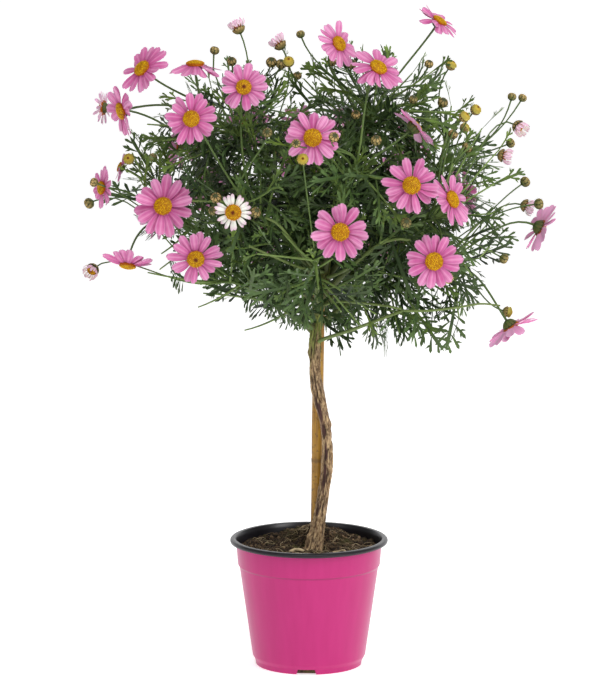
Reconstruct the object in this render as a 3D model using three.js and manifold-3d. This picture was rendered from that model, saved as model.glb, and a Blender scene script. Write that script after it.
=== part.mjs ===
// A standard marguerite daisy in its nursery pot: one bare woody stem tied up by a bamboo cane,
// a round leafy crown on top, pink daisies on long stalks, and buds at every stage of opening.
//
// Millimetres, +Z up. The origin is the middle of the pot's base, on the ground.
// +X is to the right and -Y is towards the viewer.
import * as THREE from "three";
import { mergeVertices } from "three/addons/utils/BufferGeometryUtils.js";
import Module from "manifold-3d";

const wasm = await Module();
wasm.setup();

// Driving dimensions

const CLEAR = 0.35; // gap between two pieces that touch
const GOLDEN_TURN = THREE.MathUtils.degToRad(137.508);

const POT = {
  height: 122,
  rimRadius: 75,
  wall: 1,
  baseRadius: 50.9,
  heelHeight: 5, // the foot below the body's first taper
  bodyLowRadius: 53.8,
  bodyLowHeight: 9,
  bodyHighRadius: 66.1,
  bodyHighHeight: 95,
  collarStep: 1.5, // the body widens by this much where the collar starts
  collarTopRadius: 69.3,
  lipHeight: 4.6,
  notches: 4, // for drainage, through the heel and the edge of the floor
  notchWidth: 20,
  notchHeight: 5,
  notchTaper: 2,
  notchReach: 14,
  firstNotch: 0.05, // radians before the front
  segments: 24,
};

// The mix's top: its level, a mound behind the stem with its place and reach, the depth of its lumps,
// and the rings of points that shape it, as shares of its radius.
const SOIL = {
  level: 111.5,
  mound: 12.5,
  moundAt: [5, 34],
  moundReach: 32,
  lump: 1,
  rings: [0.8, 0.54, 0.28],
};

const CANE = {
  low: [6.1, 4.1, 9],
  high: [9.4, 4.4, 362],
  radius: 5.6,
  joints: [0.53, 0.9], // shares of its length where a bamboo joint swells
  jointHalf: 0.012, // half of a joint's share of the length
  jointSwell: 0.45,
  sides: 8,
  side: 1.35, // which way it lies from the stem, in radians from +X
};

// The stem's middle line, with its radius at each point.
const STEM_LINE = [
  { at: [2, -12, 38], radius: 3.5 },
  { at: [3, -12, 72], radius: 6.2 },
  { at: [3.5, -12.5, 104], radius: 8.2 },
  { at: [5, -12, 114], radius: 7.6 },
  { at: [8, -10.2, 128], radius: 6.8 },
  { at: [11.5, -8.6, 150], radius: 5.3 },
  { at: [15, -8.4, 172], radius: 5.1 },
  { at: [17.4, -8.4, 197], radius: 5.3 },
  { at: [16.8, -8.4, 222], radius: 5 },
  { at: [14, -8.6, 240], radius: 5.1 },
  { at: [8.5, -9.2, 262], radius: 5.7 },
  { at: [5.6, -9, 285], radius: 5.1 },
  { at: [5.4, -9, 310], radius: 5.5 },
  { at: [7, -8.6, 332], radius: 5.2 },
  { at: [10, -8.2, 356], radius: 5 },
  { at: [14, -7.2, 376], radius: 5.6 },
  { at: [17, -6, 392], radius: 4.2 },
];
const STEM = { sides: 8, fluting: 0.07, winding: 0.8 };

const BRANCH = {
  count: 16,
  firstTurn: 1.4, // radians
  lowestRoot: 318, // heights on the stem between which they leave it
  highestRoot: 389,
  crownMiddle: [5, 0, 428],
  tipReach: [134, 124, 100], // from the crown's middle to the branch tips along X, Y and Z
  lowestTip: -0.66, // sine of the angle below level of the lowest tip
  highestTip: 0.97,
  rise: [0.35, 1.35], // how steeply the lowest and the highest leave the stem, in radians
  pastCane: 1.25, // the least angle between the cane and a branch beside it, in radians
  aboveCane: 12, // a branch this far above the cane's end needn't turn from it
  rootHandle: 0.35, // shares of its reach that it runs on before it bends, at either end
  tipHandle: 0.3,
  upturn: 0.25,
  rootRadius: 2.9,
  tipRadius: 1.5,
};

// Sprays of leaves stand at these shares of a branch's length, and lean out by one of these angles.
const LEAF = {
  length: 88,
  shortest: 0.84, // the shortest spray, as a share of the longest
  thickness: 0.8,
  arch: 14,
  fold: 0.25,
  places: [0.44, 0.72, 0.98],
  leans: [0.8, 1.1, 0.5],
  turns: [0, 0.7, -0.7, 1.4, -1.4, 2.1, -2.1, 2.8],
};

// Stalks may leave a branch at these shares of its length. The costs weigh a branch's crowding, and
// each millimetre that a stalk falls short of the shortest, against a millimetre of its length.
const STALK = {
  radius: 1.25,
  cupRadius: 5.6,
  cupDepth: 5,
  fullCupFrom: 22, // a smaller head has a smaller cup
  handle: 0.4,
  places: [0.5, 0.6, 0.7, 0.8, 0.9, 0.98],
  shortest: 45,
  crowdCost: 14,
  shortCost: 4,
};

const BLOOM = {
  petals: 10,
  discRadius: 8.8,
  discShare: 0.42, // of the head's radius, where that is less
  discHeight: 4.6,
  discEdge: 2.8,
  notchRadius: 12.5, // where the gaps between the rays start
  notchShare: 0.6,
  gap: 0.2, // of a ray's width, on either side of its tip
  nod: 1.2,
  thickness: 1,
};

// An opening bud is a cup: its radii at these distances along the way it faces.
const BUD = { radius: 4.6, openingStations: [-5, 0, 8], openingRadii: [2.4, 5.6, 7.4] };

// How much of a new growth may lie inside each kind of piece in its own node, in cubic millimetres.
const ROOT_VOLUME = { wood: 60, stalk: 6, spray: 0, whole: 0 };

// Flower heads: where the middle of each is, which way it faces (turn from +X and tilt above level, in
// degrees), and its radius. The first rows are those on the side towards the viewer.
const BLOOMS = [
  { at: [-153.5, -78, 579], turn: -137, tilt: 38, radius: 26 },
  { at: [-174, -50, 536.5], turn: -155, tilt: -12, radius: 26 },
  { at: [-192.5, 2, 533], turn: 160, tilt: 0, radius: 17 },
  { at: [-105, -70, 582], turn: -90, tilt: 88, radius: 27 },
  { at: [-107.5, -120, 538], turn: -97, tilt: 10, radius: 25 },
  { at: [-60, -105, 565], turn: -85, tilt: 20, radius: 23 },
  { at: [3, -150, 524.5], turn: -90, tilt: 15, radius: 27 },
  { at: [27, -70, 601], turn: -43, tilt: 29, radius: 24 },
  { at: [63, -95, 582], turn: -52, tilt: 47, radius: 27 },
  { at: [121, -20, 616.5], turn: -20, tilt: 55, radius: 23 },
  { at: [97, -95, 528], turn: 20, tilt: 40, radius: 24 },
  { at: [93, -140, 479.5], turn: -88, tilt: 15, radius: 27 },
  { at: [131, -105, 461.5], turn: -35, tilt: 22, radius: 27 },
  { at: [28, -165, 440.5], turn: -93, tilt: 5, radius: 27 },
  { at: [114, -130, 408], turn: -80, tilt: 10, radius: 27 },
  { at: [-134, -110, 456], turn: -98, tilt: 20, radius: 30 },
  { at: [-69, -155, 457], turn: -95, tilt: 0, radius: 17.5 },
  { at: [-104, -125, 409.5], turn: -85, tilt: -10, radius: 26 },
  { at: [-169, -50, 392], turn: -110, tilt: -68, radius: 25 },
  { at: [-192, -60, 466], turn: -150, tilt: 5, radius: 20 },
  { at: [-176, -22, 480], turn: 170, tilt: 20, radius: 15 },
  { at: [216, -30, 424], turn: 15, tilt: -30, radius: 27 },
  { at: [188, -50, 334], turn: 0, tilt: -55, radius: 28 },
  { at: [-60, 132, 498], turn: 110, tilt: 25, radius: 26 },
  { at: [40, 142, 492], turn: 80, tilt: 20, radius: 27 },
  { at: [104, 108, 492], turn: 40, tilt: 25, radius: 25 },
  { at: [-122, 104, 484], turn: 145, tilt: 15, radius: 27 },
  { at: [-8, 165, 462], turn: 95, tilt: 8, radius: 27 },
  { at: [92, 142, 452], turn: 60, tilt: 5, radius: 26 },
  { at: [-98, 138, 436], turn: 125, tilt: 5, radius: 26 },
  { at: [148, 96, 440], turn: 30, tilt: 10, radius: 26 },
  { at: [-146, 92, 418], turn: 150, tilt: -5, radius: 25 },
  { at: [-8, 114, 504], turn: 85, tilt: 40, radius: 24 },
  { at: [-52, 150, 384], turn: 110, tilt: -15, radius: 26 },
  { at: [74, 148, 388], turn: 60, tilt: -12, radius: 27 },
];

// Buds, in the same terms. An opening one shows a cup of short rays.
const BUDS = [
  { at: [-66, -40, 613], turn: 150, tilt: 60, opening: true },
  { at: [-87, -70, 595], turn: 0, tilt: 75, opening: false },
  { at: [-28, -30, 597], turn: 160, tilt: 50, opening: true },
  { at: [-8, -20, 604.5], turn: 120, tilt: 60, opening: false },
  { at: [-19, -60, 583.5], turn: -90, tilt: 45, opening: true },
  { at: [-167, -60, 493], turn: -100, tilt: 20, opening: true },
  { at: [-205, -40, 448.5], turn: 180, tilt: -30, opening: false },
  { at: [-203, -30, 384], turn: -120, tilt: -25, opening: true },
  { at: [132, -30, 577], turn: -20, tilt: 50, opening: true },
  { at: [189, -20, 546], turn: 60, tilt: 60, opening: false },
  { at: [200, 4, 542], turn: 30, tilt: 55, opening: false },
  { at: [195, -40, 520], turn: -40, tilt: -30, opening: true },
  { at: [181, -50, 494.5], turn: -10, tilt: -10, opening: true },
  { at: [202, -20, 466], turn: 20, tilt: 30, opening: false },
  { at: [214, -40, 448], turn: 0, tilt: 5, opening: false },
  { at: [181, -60, 399.5], turn: 0, tilt: -30, opening: false },
  { at: [-6, -172, 508], turn: -90, tilt: 15, opening: true },
  { at: [150, 110, 500], turn: 30, tilt: 30, opening: true },
  { at: [40, 185, 430], turn: 80, tilt: 0, opening: true },
];

// Drawing and joining

// A closed geometry as a solid that can be joined and cut.
function solidOf(geometry) {
  const bare = geometry.clone();
  bare.deleteAttribute("normal");
  bare.deleteAttribute("uv");
  const merged = mergeVertices(bare, 1e-4);
  return new wasm.Manifold(
    new wasm.Mesh({
      numProp: 3,
      vertProperties: merged.attributes.position.array,
      triVerts: new Uint32Array(merged.index.array),
    }),
  );
}

function geometryOf(solid) {
  const mesh = solid.getMesh();
  const geometry = new THREE.BufferGeometry();
  geometry.setAttribute("position", new THREE.BufferAttribute(mesh.vertProperties, mesh.numProp));
  geometry.setIndex(new THREE.BufferAttribute(mesh.triVerts, 1));
  geometry.computeVertexNormals();
  return geometry;
}

const joined = (solids) => solids.reduce((whole, next) => whole.add(next));

// The largest of a solid's separate bodies: what is left of a piece once its root has been trimmed.
function largestBody(solid) {
  return solid.decompose().reduce((best, body) => (body.volume() > best.volume() ? body : best));
}

// Every piece in its place, under the name of its node, with its box for a quick first test.
const placed = [];

function put(name, solid, kind = "whole") {
  placed.push({ name, solid, kind, box: solid.boundingBox() });
}

// True where a solid crosses none of the pieces of the other nodes, and in its own node shares no
// more than its root with what it grows from.
function isClear(solid, ownName) {
  const box = solid.boundingBox();
  return placed.every((piece) => {
    const apart = [0, 1, 2].some((k) => box.min[k] > piece.box.max[k] || piece.box.min[k] > box.max[k]);
    const shared = piece.name === ownName ? ROOT_VOLUME[piece.kind] : 0;
    return apart || solid.intersect(piece.solid).volume() <= shared + 1e-4;
  });
}

const vector = (xyz) => new THREE.Vector3(...xyz);

// A turn from +X and a tilt above level, in degrees, as a direction.
function facing(turn, tilt) {
  const t = THREE.MathUtils.degToRad(turn);
  const e = THREE.MathUtils.degToRad(tilt);
  return new THREE.Vector3(Math.cos(e) * Math.cos(t), Math.cos(e) * Math.sin(t), Math.sin(e));
}

// Seeded draws between 0 and 1 (the mulberry32 rule), so that the plant is the same every time.
function draws(seed) {
  let state = seed;
  return () => {
    state = (state + 0x6d2b79f5) | 0;
    let t = Math.imul(state ^ (state >>> 15), 1 | state);
    t = (t + Math.imul(t ^ (t >>> 7), 61 | t)) ^ t;
    return ((t ^ (t >>> 14)) >>> 0) / 4294967296;
  };
}

// Two directions across each point of a line, carried along it without twisting.
function carriedFrames(points) {
  const frames = [];
  let side = new THREE.Vector3(0.31, 0.95, 0.05);
  points.forEach((point, i) => {
    const before = points[Math.max(i - 1, 0)];
    const after = points[Math.min(i + 1, points.length - 1)];
    const along = after.clone().sub(before).normalize();
    side = side.clone().addScaledVector(along, -side.dot(along)).normalize();
    frames.push({ along, side, other: along.clone().cross(side) });
  });
  return frames;
}

// A closed tube through the points: a lathed column with one ring for each point, bent along them.
// ripple(angle, ring) widens or narrows it round its section.
function tube(points, radii, sides, ripple = () => 1) {
  const last = points.length - 1;
  const profile = radii.map((radius, ring) => new THREE.Vector2(radius, ring));
  profile.unshift(new THREE.Vector2(0, 0));
  profile.push(new THREE.Vector2(0, last));
  const column = new THREE.LatheGeometry(profile, sides);
  const frames = carriedFrames(points);
  const position = column.getAttribute("position");
  for (let v = 0; v < position.count; v += 1) {
    const ring = Math.round(position.getY(v));
    const [x, z] = [position.getX(v), position.getZ(v)];
    const wide = ripple(Math.atan2(x, z), ring);
    const { side, other } = frames[ring];
    const place = points[ring].clone();
    place.addScaledVector(other, x * wide).addScaledVector(side, z * wide);
    position.setXYZ(v, place.x, place.y, place.z);
  }
  return solidOf(column);
}

const placesOn = (curve, shares) => shares.map((share) => curve.getPointAt(share));

// Nursery pot: one sheet formed in a mould, with a rolled lip and drainage notches in its heel

function potProfile() {
  const { wall, height, lipHeight } = POT;
  const outside = [
    [0, 0],
    [POT.baseRadius, 0],
    [POT.baseRadius + 0.6, POT.heelHeight],
    [POT.bodyLowRadius, POT.bodyLowHeight],
    [POT.bodyHighRadius, POT.bodyHighHeight],
    [POT.bodyHighRadius + POT.collarStep, POT.bodyHighHeight + POT.collarStep],
    [POT.collarTopRadius, height - lipHeight],
    [POT.rimRadius - 1.2, height - lipHeight + 0.4],
    [POT.rimRadius, height - 0.5 * lipHeight],
    [POT.rimRadius - 2.3, height],
  ];
  const inside = [
    [POT.collarTopRadius, height],
    [POT.collarTopRadius - wall, height - lipHeight],
    [POT.bodyHighRadius + POT.collarStep - wall, POT.bodyHighHeight + POT.collarStep + 0.4],
    [POT.bodyHighRadius - wall, POT.bodyHighHeight + 0.4],
    [POT.bodyLowRadius - wall, POT.bodyLowHeight],
    [POT.baseRadius - wall, wall],
    [0, wall],
  ];
  return { outside, inside };
}

const lathed = (points, segments) => {
  const profile = points.map(([radius, height]) => new THREE.Vector2(radius, height));
  return new THREE.LatheGeometry(profile, segments).rotateX(Math.PI / 2);
};

// A tapered block that reaches through the heel, turned to the place of one drainage notch.
function notchTool(turn) {
  const { notchWidth, notchHeight, notchTaper, notchReach } = POT;
  const outline = new THREE.Shape([
    new THREE.Vector2(-notchWidth / 2, -notchTaper),
    new THREE.Vector2(notchWidth / 2, -notchTaper),
    new THREE.Vector2(notchWidth / 2 - notchTaper, notchHeight),
    new THREE.Vector2(notchTaper - notchWidth / 2, notchHeight),
  ]);
  const block = new THREE.ExtrudeGeometry(outline, { depth: notchReach, bevelEnabled: false });
  block.rotateX(Math.PI / 2).translate(0, notchReach / 2 - POT.baseRadius, 0);
  return solidOf(block.rotateZ(turn));
}

function makePot() {
  const { outside, inside } = potProfile();
  const shell = solidOf(lathed([...outside, ...inside], POT.segments));
  const step = (2 * Math.PI) / POT.notches;
  const turns = Array.from({ length: POT.notches }, (_, i) => i * step - POT.firstNotch);
  return turns.reduce((pot, turn) => pot.subtract(notchTool(turn)), shell);
}

// Woody stem and cane

// The stem is fluted: wider along two sides, which wind round it.
function makeStem(extra = 0) {
  const points = STEM_LINE.map(({ at }) => vector(at));
  const radii = STEM_LINE.map(({ radius }) => radius + extra);
  const fluted = (angle, ring) => 1 + STEM.fluting * Math.cos(2 * angle + STEM.winding * ring);
  return tube(points, radii, STEM.sides, fluted);
}

function makeCane(extra = 0) {
  const line = new THREE.LineCurve3(vector(CANE.low), vector(CANE.high));
  const swellings = CANE.joints.flatMap((share) => [
    { share: share - CANE.jointHalf, wider: 0 },
    { share, wider: CANE.jointSwell },
    { share: share + CANE.jointHalf, wider: 0 },
  ]);
  const stations = [{ share: 0, wider: 0 }, ...swellings, { share: 1, wider: 0 }];
  const points = placesOn(line, stations.map(({ share }) => share));
  return tube(points, stations.map(({ wider }) => CANE.radius + wider + extra), CANE.sides);
}

// Potting mix: fills the pot, heaped behind the stem, which stands in a plain hole

function soilHeight(x, y) {
  const [moundX, moundY] = SOIL.moundAt;
  const away = Math.hypot(x - moundX, y - moundY) / SOIL.moundReach;
  const lumps = Math.sin(x * 0.17 + 1.3) * Math.sin(y * 0.21) + 0.6 * Math.sin(x * 0.35 - y * 0.29);
  return SOIL.level + SOIL.mound * Math.exp(-(away ** 2)) + SOIL.lump * lumps;
}

function makeSoil(stemHole, caneHole) {
  const [, collarTop, ...below] = potProfile().inside;
  const fill = below.map(([radius, height]) => [Math.max(radius - CLEAR, 0), height + CLEAR]).reverse();
  const [collarLow] = below;
  const up = (SOIL.level - collarLow[1]) / (collarTop[1] - collarLow[1]);
  const edgeRadius = THREE.MathUtils.lerp(collarLow[0], collarTop[0], up) - CLEAR;
  const top = [1, ...SOIL.rings, 0].map((share) => [share * edgeRadius, SOIL.level]);
  const geometry = lathed([...fill, ...top], POT.segments);
  const position = geometry.getAttribute("position");
  for (let v = 0; v < position.count; v += 1) {
    if (position.getZ(v) > SOIL.level - 0.01) {
      position.setZ(v, soilHeight(position.getX(v), position.getY(v)));
    }
  }
  return solidOf(geometry).subtract(stemHole).subtract(caneHole);
}

// Branches: each leaves the stem at its own height and ends at its own place under the crown's skin

function stemAtHeight(height) {
  const above = STEM_LINE.findIndex(({ at }) => at[2] >= height);
  const [low, high] = [vector(STEM_LINE[above - 1].at), vector(STEM_LINE[above].at)];
  return low.lerp(high, (height - low.z) / (high.z - low.z));
}

// A branch that would leave the stem towards the cane starts out beside it.
function awayFromCane(turn) {
  const off = Math.atan2(Math.sin(turn - CANE.side), Math.cos(turn - CANE.side));
  return CANE.side + (off < 0 ? Math.min(off, -BRANCH.pastCane) : Math.max(off, BRANCH.pastCane));
}

function branchLine(index) {
  const share = (index + 0.5) / BRANCH.count;
  const turn = BRANCH.firstTurn + index * GOLDEN_TURN;
  const up = THREE.MathUtils.lerp(BRANCH.lowestTip, BRANCH.highestTip, share);
  const level = Math.sqrt(1 - up * up);
  const [reachX, reachY, reachZ] = BRANCH.tipReach;
  const middle = vector(BRANCH.crownMiddle);
  const [east, north] = [level * Math.cos(turn), level * Math.sin(turn)];
  const spread = new THREE.Vector3(reachX * east, reachY * north, reachZ * up);
  const tip = middle.clone().add(spread);
  const root = stemAtHeight(THREE.MathUtils.lerp(BRANCH.lowestRoot, BRANCH.highestRoot, share));
  const length = tip.distanceTo(root);
  const rise = THREE.MathUtils.lerp(...BRANCH.rise, share);
  const away = root.z < CANE.high[2] + BRANCH.aboveCane ? awayFromCane(turn) : turn;
  const leave = new THREE.Vector3(Math.cos(away), Math.sin(away), Math.tan(rise)).normalize();
  const arrive = spread.clone().normalize().add(new THREE.Vector3(0, 0, BRANCH.upturn)).normalize();
  return new THREE.CubicBezierCurve3(
    root,
    root.clone().addScaledVector(leave, BRANCH.rootHandle * length),
    tip.clone().addScaledVector(arrive, -BRANCH.tipHandle * length),
    tip,
  );
}

function branchWood(line, extra = 0) {
  const shares = [0, 0.25, 0.5, 0.75, 1];
  const wood = (share) => THREE.MathUtils.lerp(BRANCH.rootRadius, BRANCH.tipRadius, share);
  return tube(placesOn(line, shares), shares.map((share) => wood(share) + extra), 5);
}

// Stalks, buds and flower heads

// A stalk leaves its branch along it, and comes to the flower or bud from behind.
function stalkLine(row, start, backset) {
  const { line, share } = start;
  const root = line.getPointAt(share);
  const face = facing(row.turn, row.tilt);
  const end = vector(row.at).addScaledVector(face, -backset);
  const length = end.distanceTo(root);
  return new THREE.CubicBezierCurve3(
    root,
    root.clone().addScaledVector(line.getTangentAt(share), STALK.handle * length),
    end.clone().addScaledVector(face, -STALK.handle * length),
    end,
  );
}

// The stalk of an open flower, widening into the green cup that carries its head.
function flowerStalk(row, start, extra = 0) {
  const line = stalkLine(row, start, BLOOM.thickness + CLEAR);
  const cup = STALK.cupDepth / line.getLength();
  const widest = (STALK.cupRadius * Math.min(1, row.radius / STALK.fullCupFrom)) / STALK.radius;
  const radii = [1, 1, 1, widest].map((wide) => wide * STALK.radius + extra);
  return tube(placesOn(line, [0, 0.5, 1 - cup, 1]), radii, 4);
}

// The stalk of a bud, with the round bud, or the cup and short rays of one that is opening.
function budStalk(row, start, extra = 0) {
  const line = stalkLine(row, start, 0);
  const radii = [1, 0.9, 0.8].map((wide) => wide * STALK.radius + extra);
  const stalk = tube(placesOn(line, [0, 0.5, 1]), radii, 3);
  if (!row.opening) {
    const ball = new THREE.IcosahedronGeometry(BUD.radius + extra, 0).translate(...row.at);
    return stalk.add(solidOf(ball));
  }
  const face = facing(row.turn, row.tilt);
  const stations = BUD.openingStations.map((out) => vector(row.at).addScaledVector(face, out));
  return stalk.add(tube(stations, BUD.openingRadii.map((radius) => radius + extra), 5));
}

// The place on a branch from which a stalk reaches its head without touching another piece: near,
// without a sharp turn, and on a branch that doesn't carry many already.
function clearStart(row, makeStalk) {
  const goal = vector(row.at);
  const starts = BRANCHES.flatMap(({ name, line, stalkPlaces }) =>
    stalkPlaces.map((share) => {
      const way = goal.clone().sub(line.getPointAt(share));
      const bend = 1 - way.clone().normalize().dot(line.getTangentAt(share));
      const tooShort = Math.max(0, STALK.shortest - way.length());
      const crowd = STALK.places.length - stalkPlaces.length;
      const cost = way.length() * (1 + bend) + STALK.crowdCost * crowd + STALK.shortCost * tooShort;
      return { name, line, share, cost };
    }),
  );
  starts.sort((a, b) => a.cost - b.cost);
  return starts.find((start) => isClear(makeStalk(row, start, CLEAR), start.name));
}

// A head: a low dome of florets, and rays cut apart from each other at their outer halves. Its
// middle is at the origin and it faces +Z.
function headGeometry(radius) {
  const { petals, thickness } = BLOOM;
  const disc = Math.min(BLOOM.discRadius, BLOOM.discShare * radius);
  const notch = Math.min(BLOOM.notchRadius, BLOOM.notchShare * radius);
  const step = (2 * Math.PI) / petals;
  const rings = [];
  const ring = (ringRadius, height, offset) => {
    const start = rings.length;
    for (let i = 0; i < petals; i += 1) {
      const angle = (i + offset) * step;
      rings.push([ringRadius * Math.cos(angle), ringRadius * Math.sin(angle), height(i)]);
    }
    return (i) => start + ((i + petals) % petals);
  };
  const level = (height) => () => height;
  const nod = (i) => BLOOM.nod * (Math.cos(3 * i * step) - 0.5);
  const lowNod = (i) => nod(i) - thickness;
  const domeEdge = ring(disc, level(BLOOM.discEdge), 0);
  const notchTop = ring(notch, level(0), 0);
  const leftTop = ring(radius, nod, BLOOM.gap);
  const rightTop = ring(radius, nod, 1 - BLOOM.gap);
  const notchLow = ring(notch, level(-thickness), 0);
  const leftLow = ring(radius, lowNod, BLOOM.gap);
  const rightLow = ring(radius, lowNod, 1 - BLOOM.gap);
  const apex = rings.push([0, 0, BLOOM.discHeight]) - 1;
  const back = rings.push([0, 0, -thickness]) - 1;
  const faces = [];
  const quad = (a, b, c, d) => faces.push(a, b, c, a, c, d);
  for (let i = 0; i < petals; i += 1) {
    faces.push(apex, domeEdge(i), domeEdge(i + 1));
    quad(domeEdge(i), notchTop(i), notchTop(i + 1), domeEdge(i + 1));
    quad(notchTop(i), leftTop(i), rightTop(i), notchTop(i + 1));
    faces.push(back, notchLow(i + 1), notchLow(i));
    quad(notchLow(i), notchLow(i + 1), rightLow(i), leftLow(i));
    quad(notchTop(i), notchLow(i), leftLow(i), leftTop(i));
    quad(leftTop(i), leftLow(i), rightLow(i), rightTop(i));
    quad(rightTop(i), rightLow(i), notchLow(i + 1), notchTop(i + 1));
  }
  const geometry = new THREE.BufferGeometry();
  geometry.setAttribute("position", new THREE.Float32BufferAttribute(rings.flat(), 3));
  return geometry.setIndex(faces);
}

function makeHead(row) {
  const way = facing(row.turn, row.tilt);
  const turn = new THREE.Quaternion().setFromUnitVectors(new THREE.Vector3(0, 0, 1), way);
  return solidOf(headGeometry(row.radius).applyQuaternion(turn).translate(...row.at));
}

// Leaves: they stand in sprays, each one thin arched blade cut to the rib into a leaf at its end and
// a smaller one to each side, with lobes that point forward

// One side of a spray's outline, from its foot to below its tip, as shares of its length: [across, along].
const SPRAY_SIDE = [
  [0.02, 0],
  [0.024, 0.3],
  [0.36, 0.42],
  [0.29, 0.47],
  [0.5, 0.62],
  [0.26, 0.53],
  [0.22, 0.63],
  [0.03, 0.44],
  [0.21, 0.76],
  [0.045, 0.68],
  [0.19, 0.92],
  [0.045, 0.82],
];

function sprayBlade(length, thickness, grow = 0) {
  const side = SPRAY_SIDE.map(([across, along]) => [across * length + grow, along * length]);
  const left = side.map(([x, y]) => new THREE.Vector2(-x, y)).reverse();
  const right = side.map(([x, y]) => new THREE.Vector2(x, y));
  const outline = new THREE.Shape([...right, new THREE.Vector2(0, length + grow), ...left]);
  const blade = new THREE.ExtrudeGeometry(outline, { depth: thickness, bevelEnabled: false });
  const position = blade.getAttribute("position");
  for (let v = 0; v < position.count; v += 1) {
    const [x, y, z] = [position.getX(v), position.getY(v), position.getZ(v)];
    const bend = LEAF.fold * Math.abs(x) - LEAF.arch * (y / length) ** 2;
    position.setZ(v, z - thickness / 2 + bend);
  }
  return blade;
}

// Where a spray goes: its foot on a line, and its length and upper face turned round that line.
function sprayPlace(line, share, angle, lean) {
  const foot = line.getPointAt(share);
  const along = line.getTangentAt(share);
  const { side, other } = carriedFrames([foot, foot.clone().add(along)])[0];
  const out = side.clone().multiplyScalar(Math.cos(angle)).addScaledVector(other, Math.sin(angle));
  const reach = along.clone().multiplyScalar(Math.cos(lean)).addScaledVector(out, Math.sin(lean));
  const upper = along.clone().multiplyScalar(Math.sin(lean)).addScaledVector(out, -Math.cos(lean));
  const across = reach.clone().cross(upper);
  return new THREE.Matrix4().makeBasis(across, reach, upper).setPosition(foot);
}

// Sprays in a spiral along a branch, each turned and leaned until it is clear of everything else.
function growSprays(branch, index) {
  const random = draws(index + 1);
  LEAF.places.forEach((share, station) => {
    const length = LEAF.length * THREE.MathUtils.lerp(LEAF.shortest, 1, random());
    const firstAngle = station * GOLDEN_TURN + index;
    const ways = LEAF.turns.flatMap((turn) => LEAF.leans.map((lean) => ({ angle: firstAngle + turn, lean })));
    const placeOf = ({ angle, lean }) => sprayPlace(branch.line, share, angle, lean);
    const way = ways.find((one) => {
      const thick = sprayBlade(length, LEAF.thickness + 2 * CLEAR, CLEAR).applyMatrix4(placeOf(one));
      return isClear(solidOf(thick), branch.name);
    });
    grow(branch, "spray", solidOf(sprayBlade(length, LEAF.thickness).applyMatrix4(placeOf(way))));
  });
}

// The whole plant and its pot

const numbered = (word, index) => `${word}_${String(index + 1).padStart(2, "0")}`;

const BRANCHES = Array.from({ length: BRANCH.count }, (_, index) => ({
  name: numbered("leafy_branch", index),
  line: branchLine(index),
  stalkPlaces: [...STALK.places], // where a stalk may still start
  growths: [],
}));

const stemWithRoom = makeStem(CLEAR);
put("pot", makePot());
put("potting_mix", makeSoil(stemWithRoom, makeCane(CLEAR)));
put("cane", makeCane());
put("woody_stem", makeStem());
BLOOMS.forEach((row, index) => put(numbered("bloom", index), makeHead(row)));
const single = [...placed];

// What grows from a branch is put in place as soon as it is found clear, and joined at the end.
function grow(branch, kind, solid) {
  const trimmed = largestBody(solid.subtract(stemWithRoom));
  branch.growths.push(trimmed);
  put(branch.name, trimmed, kind);
}

BRANCHES.forEach((branch) => grow(branch, "wood", branchWood(branch.line)));

const stalks = [
  ...BLOOMS.map((row) => ({ row, makeStalk: flowerStalk })),
  ...BUDS.map((row) => ({ row, makeStalk: budStalk })),
];
stalks.forEach(({ row, makeStalk }) => {
  const start = clearStart(row, makeStalk);
  const branch = BRANCHES.find(({ name }) => name === start.name);
  branch.stalkPlaces = branch.stalkPlaces.filter((share) => share !== start.share);
  grow(branch, "stalk", makeStalk(row, start));
});

BRANCHES.forEach(growSprays);

const finish = (color, roughness) => new THREE.MeshStandardMaterial({ color, roughness, metalness: 0 });
const leafGreen = finish("#2f6a2c", 0.6);
const petalPink = finish("#ea86bd", 0.7);
const FINISHES = {
  pot: finish("#e0307f", 0.35),
  potting_mix: finish("#3a2a20", 0.95),
  cane: finish("#b9925a", 0.5),
  woody_stem: finish("#8a7658", 0.85),
};

const daisy = new THREE.Group();

function show(name, solid, material) {
  const mesh = new THREE.Mesh(geometryOf(solid), material);
  mesh.name = name;
  daisy.add(mesh);
}

single.forEach(({ name, solid }) => show(name, solid, FINISHES[name] ?? petalPink));
BRANCHES.forEach(({ name, growths }) => show(name, joined(growths), leafGreen));

export default daisy;
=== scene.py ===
# %% [markdown]
# # A standard marguerite daisy in its nursery pot
# A standard is a small bush grown on one bare stem: here a knotty woody stem tied up by a bamboo cane,
# with a round crown of finely cut leaves, pink daisies on long stalks, and buds.
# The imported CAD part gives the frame: where the pot, the stem and each flower head are. This script
# dresses it. Each piece is a surface worked out with numpy as a function of two parameters, so its
# form can be read from one formula, and its finish comes from a few shader nodes.
# Lengths are in millimetres until a mesh is made, +Z is up and -Y is towards the viewer.

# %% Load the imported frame
import math

import bpy
import numpy as np
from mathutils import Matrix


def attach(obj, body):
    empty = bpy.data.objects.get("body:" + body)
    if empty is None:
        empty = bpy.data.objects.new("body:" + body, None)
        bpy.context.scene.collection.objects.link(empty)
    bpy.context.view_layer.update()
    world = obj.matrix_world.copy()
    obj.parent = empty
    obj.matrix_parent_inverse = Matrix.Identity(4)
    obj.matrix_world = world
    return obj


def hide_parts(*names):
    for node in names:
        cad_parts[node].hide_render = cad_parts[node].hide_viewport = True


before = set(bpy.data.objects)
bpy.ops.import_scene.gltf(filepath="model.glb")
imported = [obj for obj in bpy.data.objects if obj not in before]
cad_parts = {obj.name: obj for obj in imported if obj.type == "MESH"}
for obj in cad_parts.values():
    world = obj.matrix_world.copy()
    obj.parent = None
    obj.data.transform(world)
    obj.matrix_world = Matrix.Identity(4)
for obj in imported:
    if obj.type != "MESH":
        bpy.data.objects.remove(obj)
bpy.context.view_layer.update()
MM = 0.001

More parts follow.
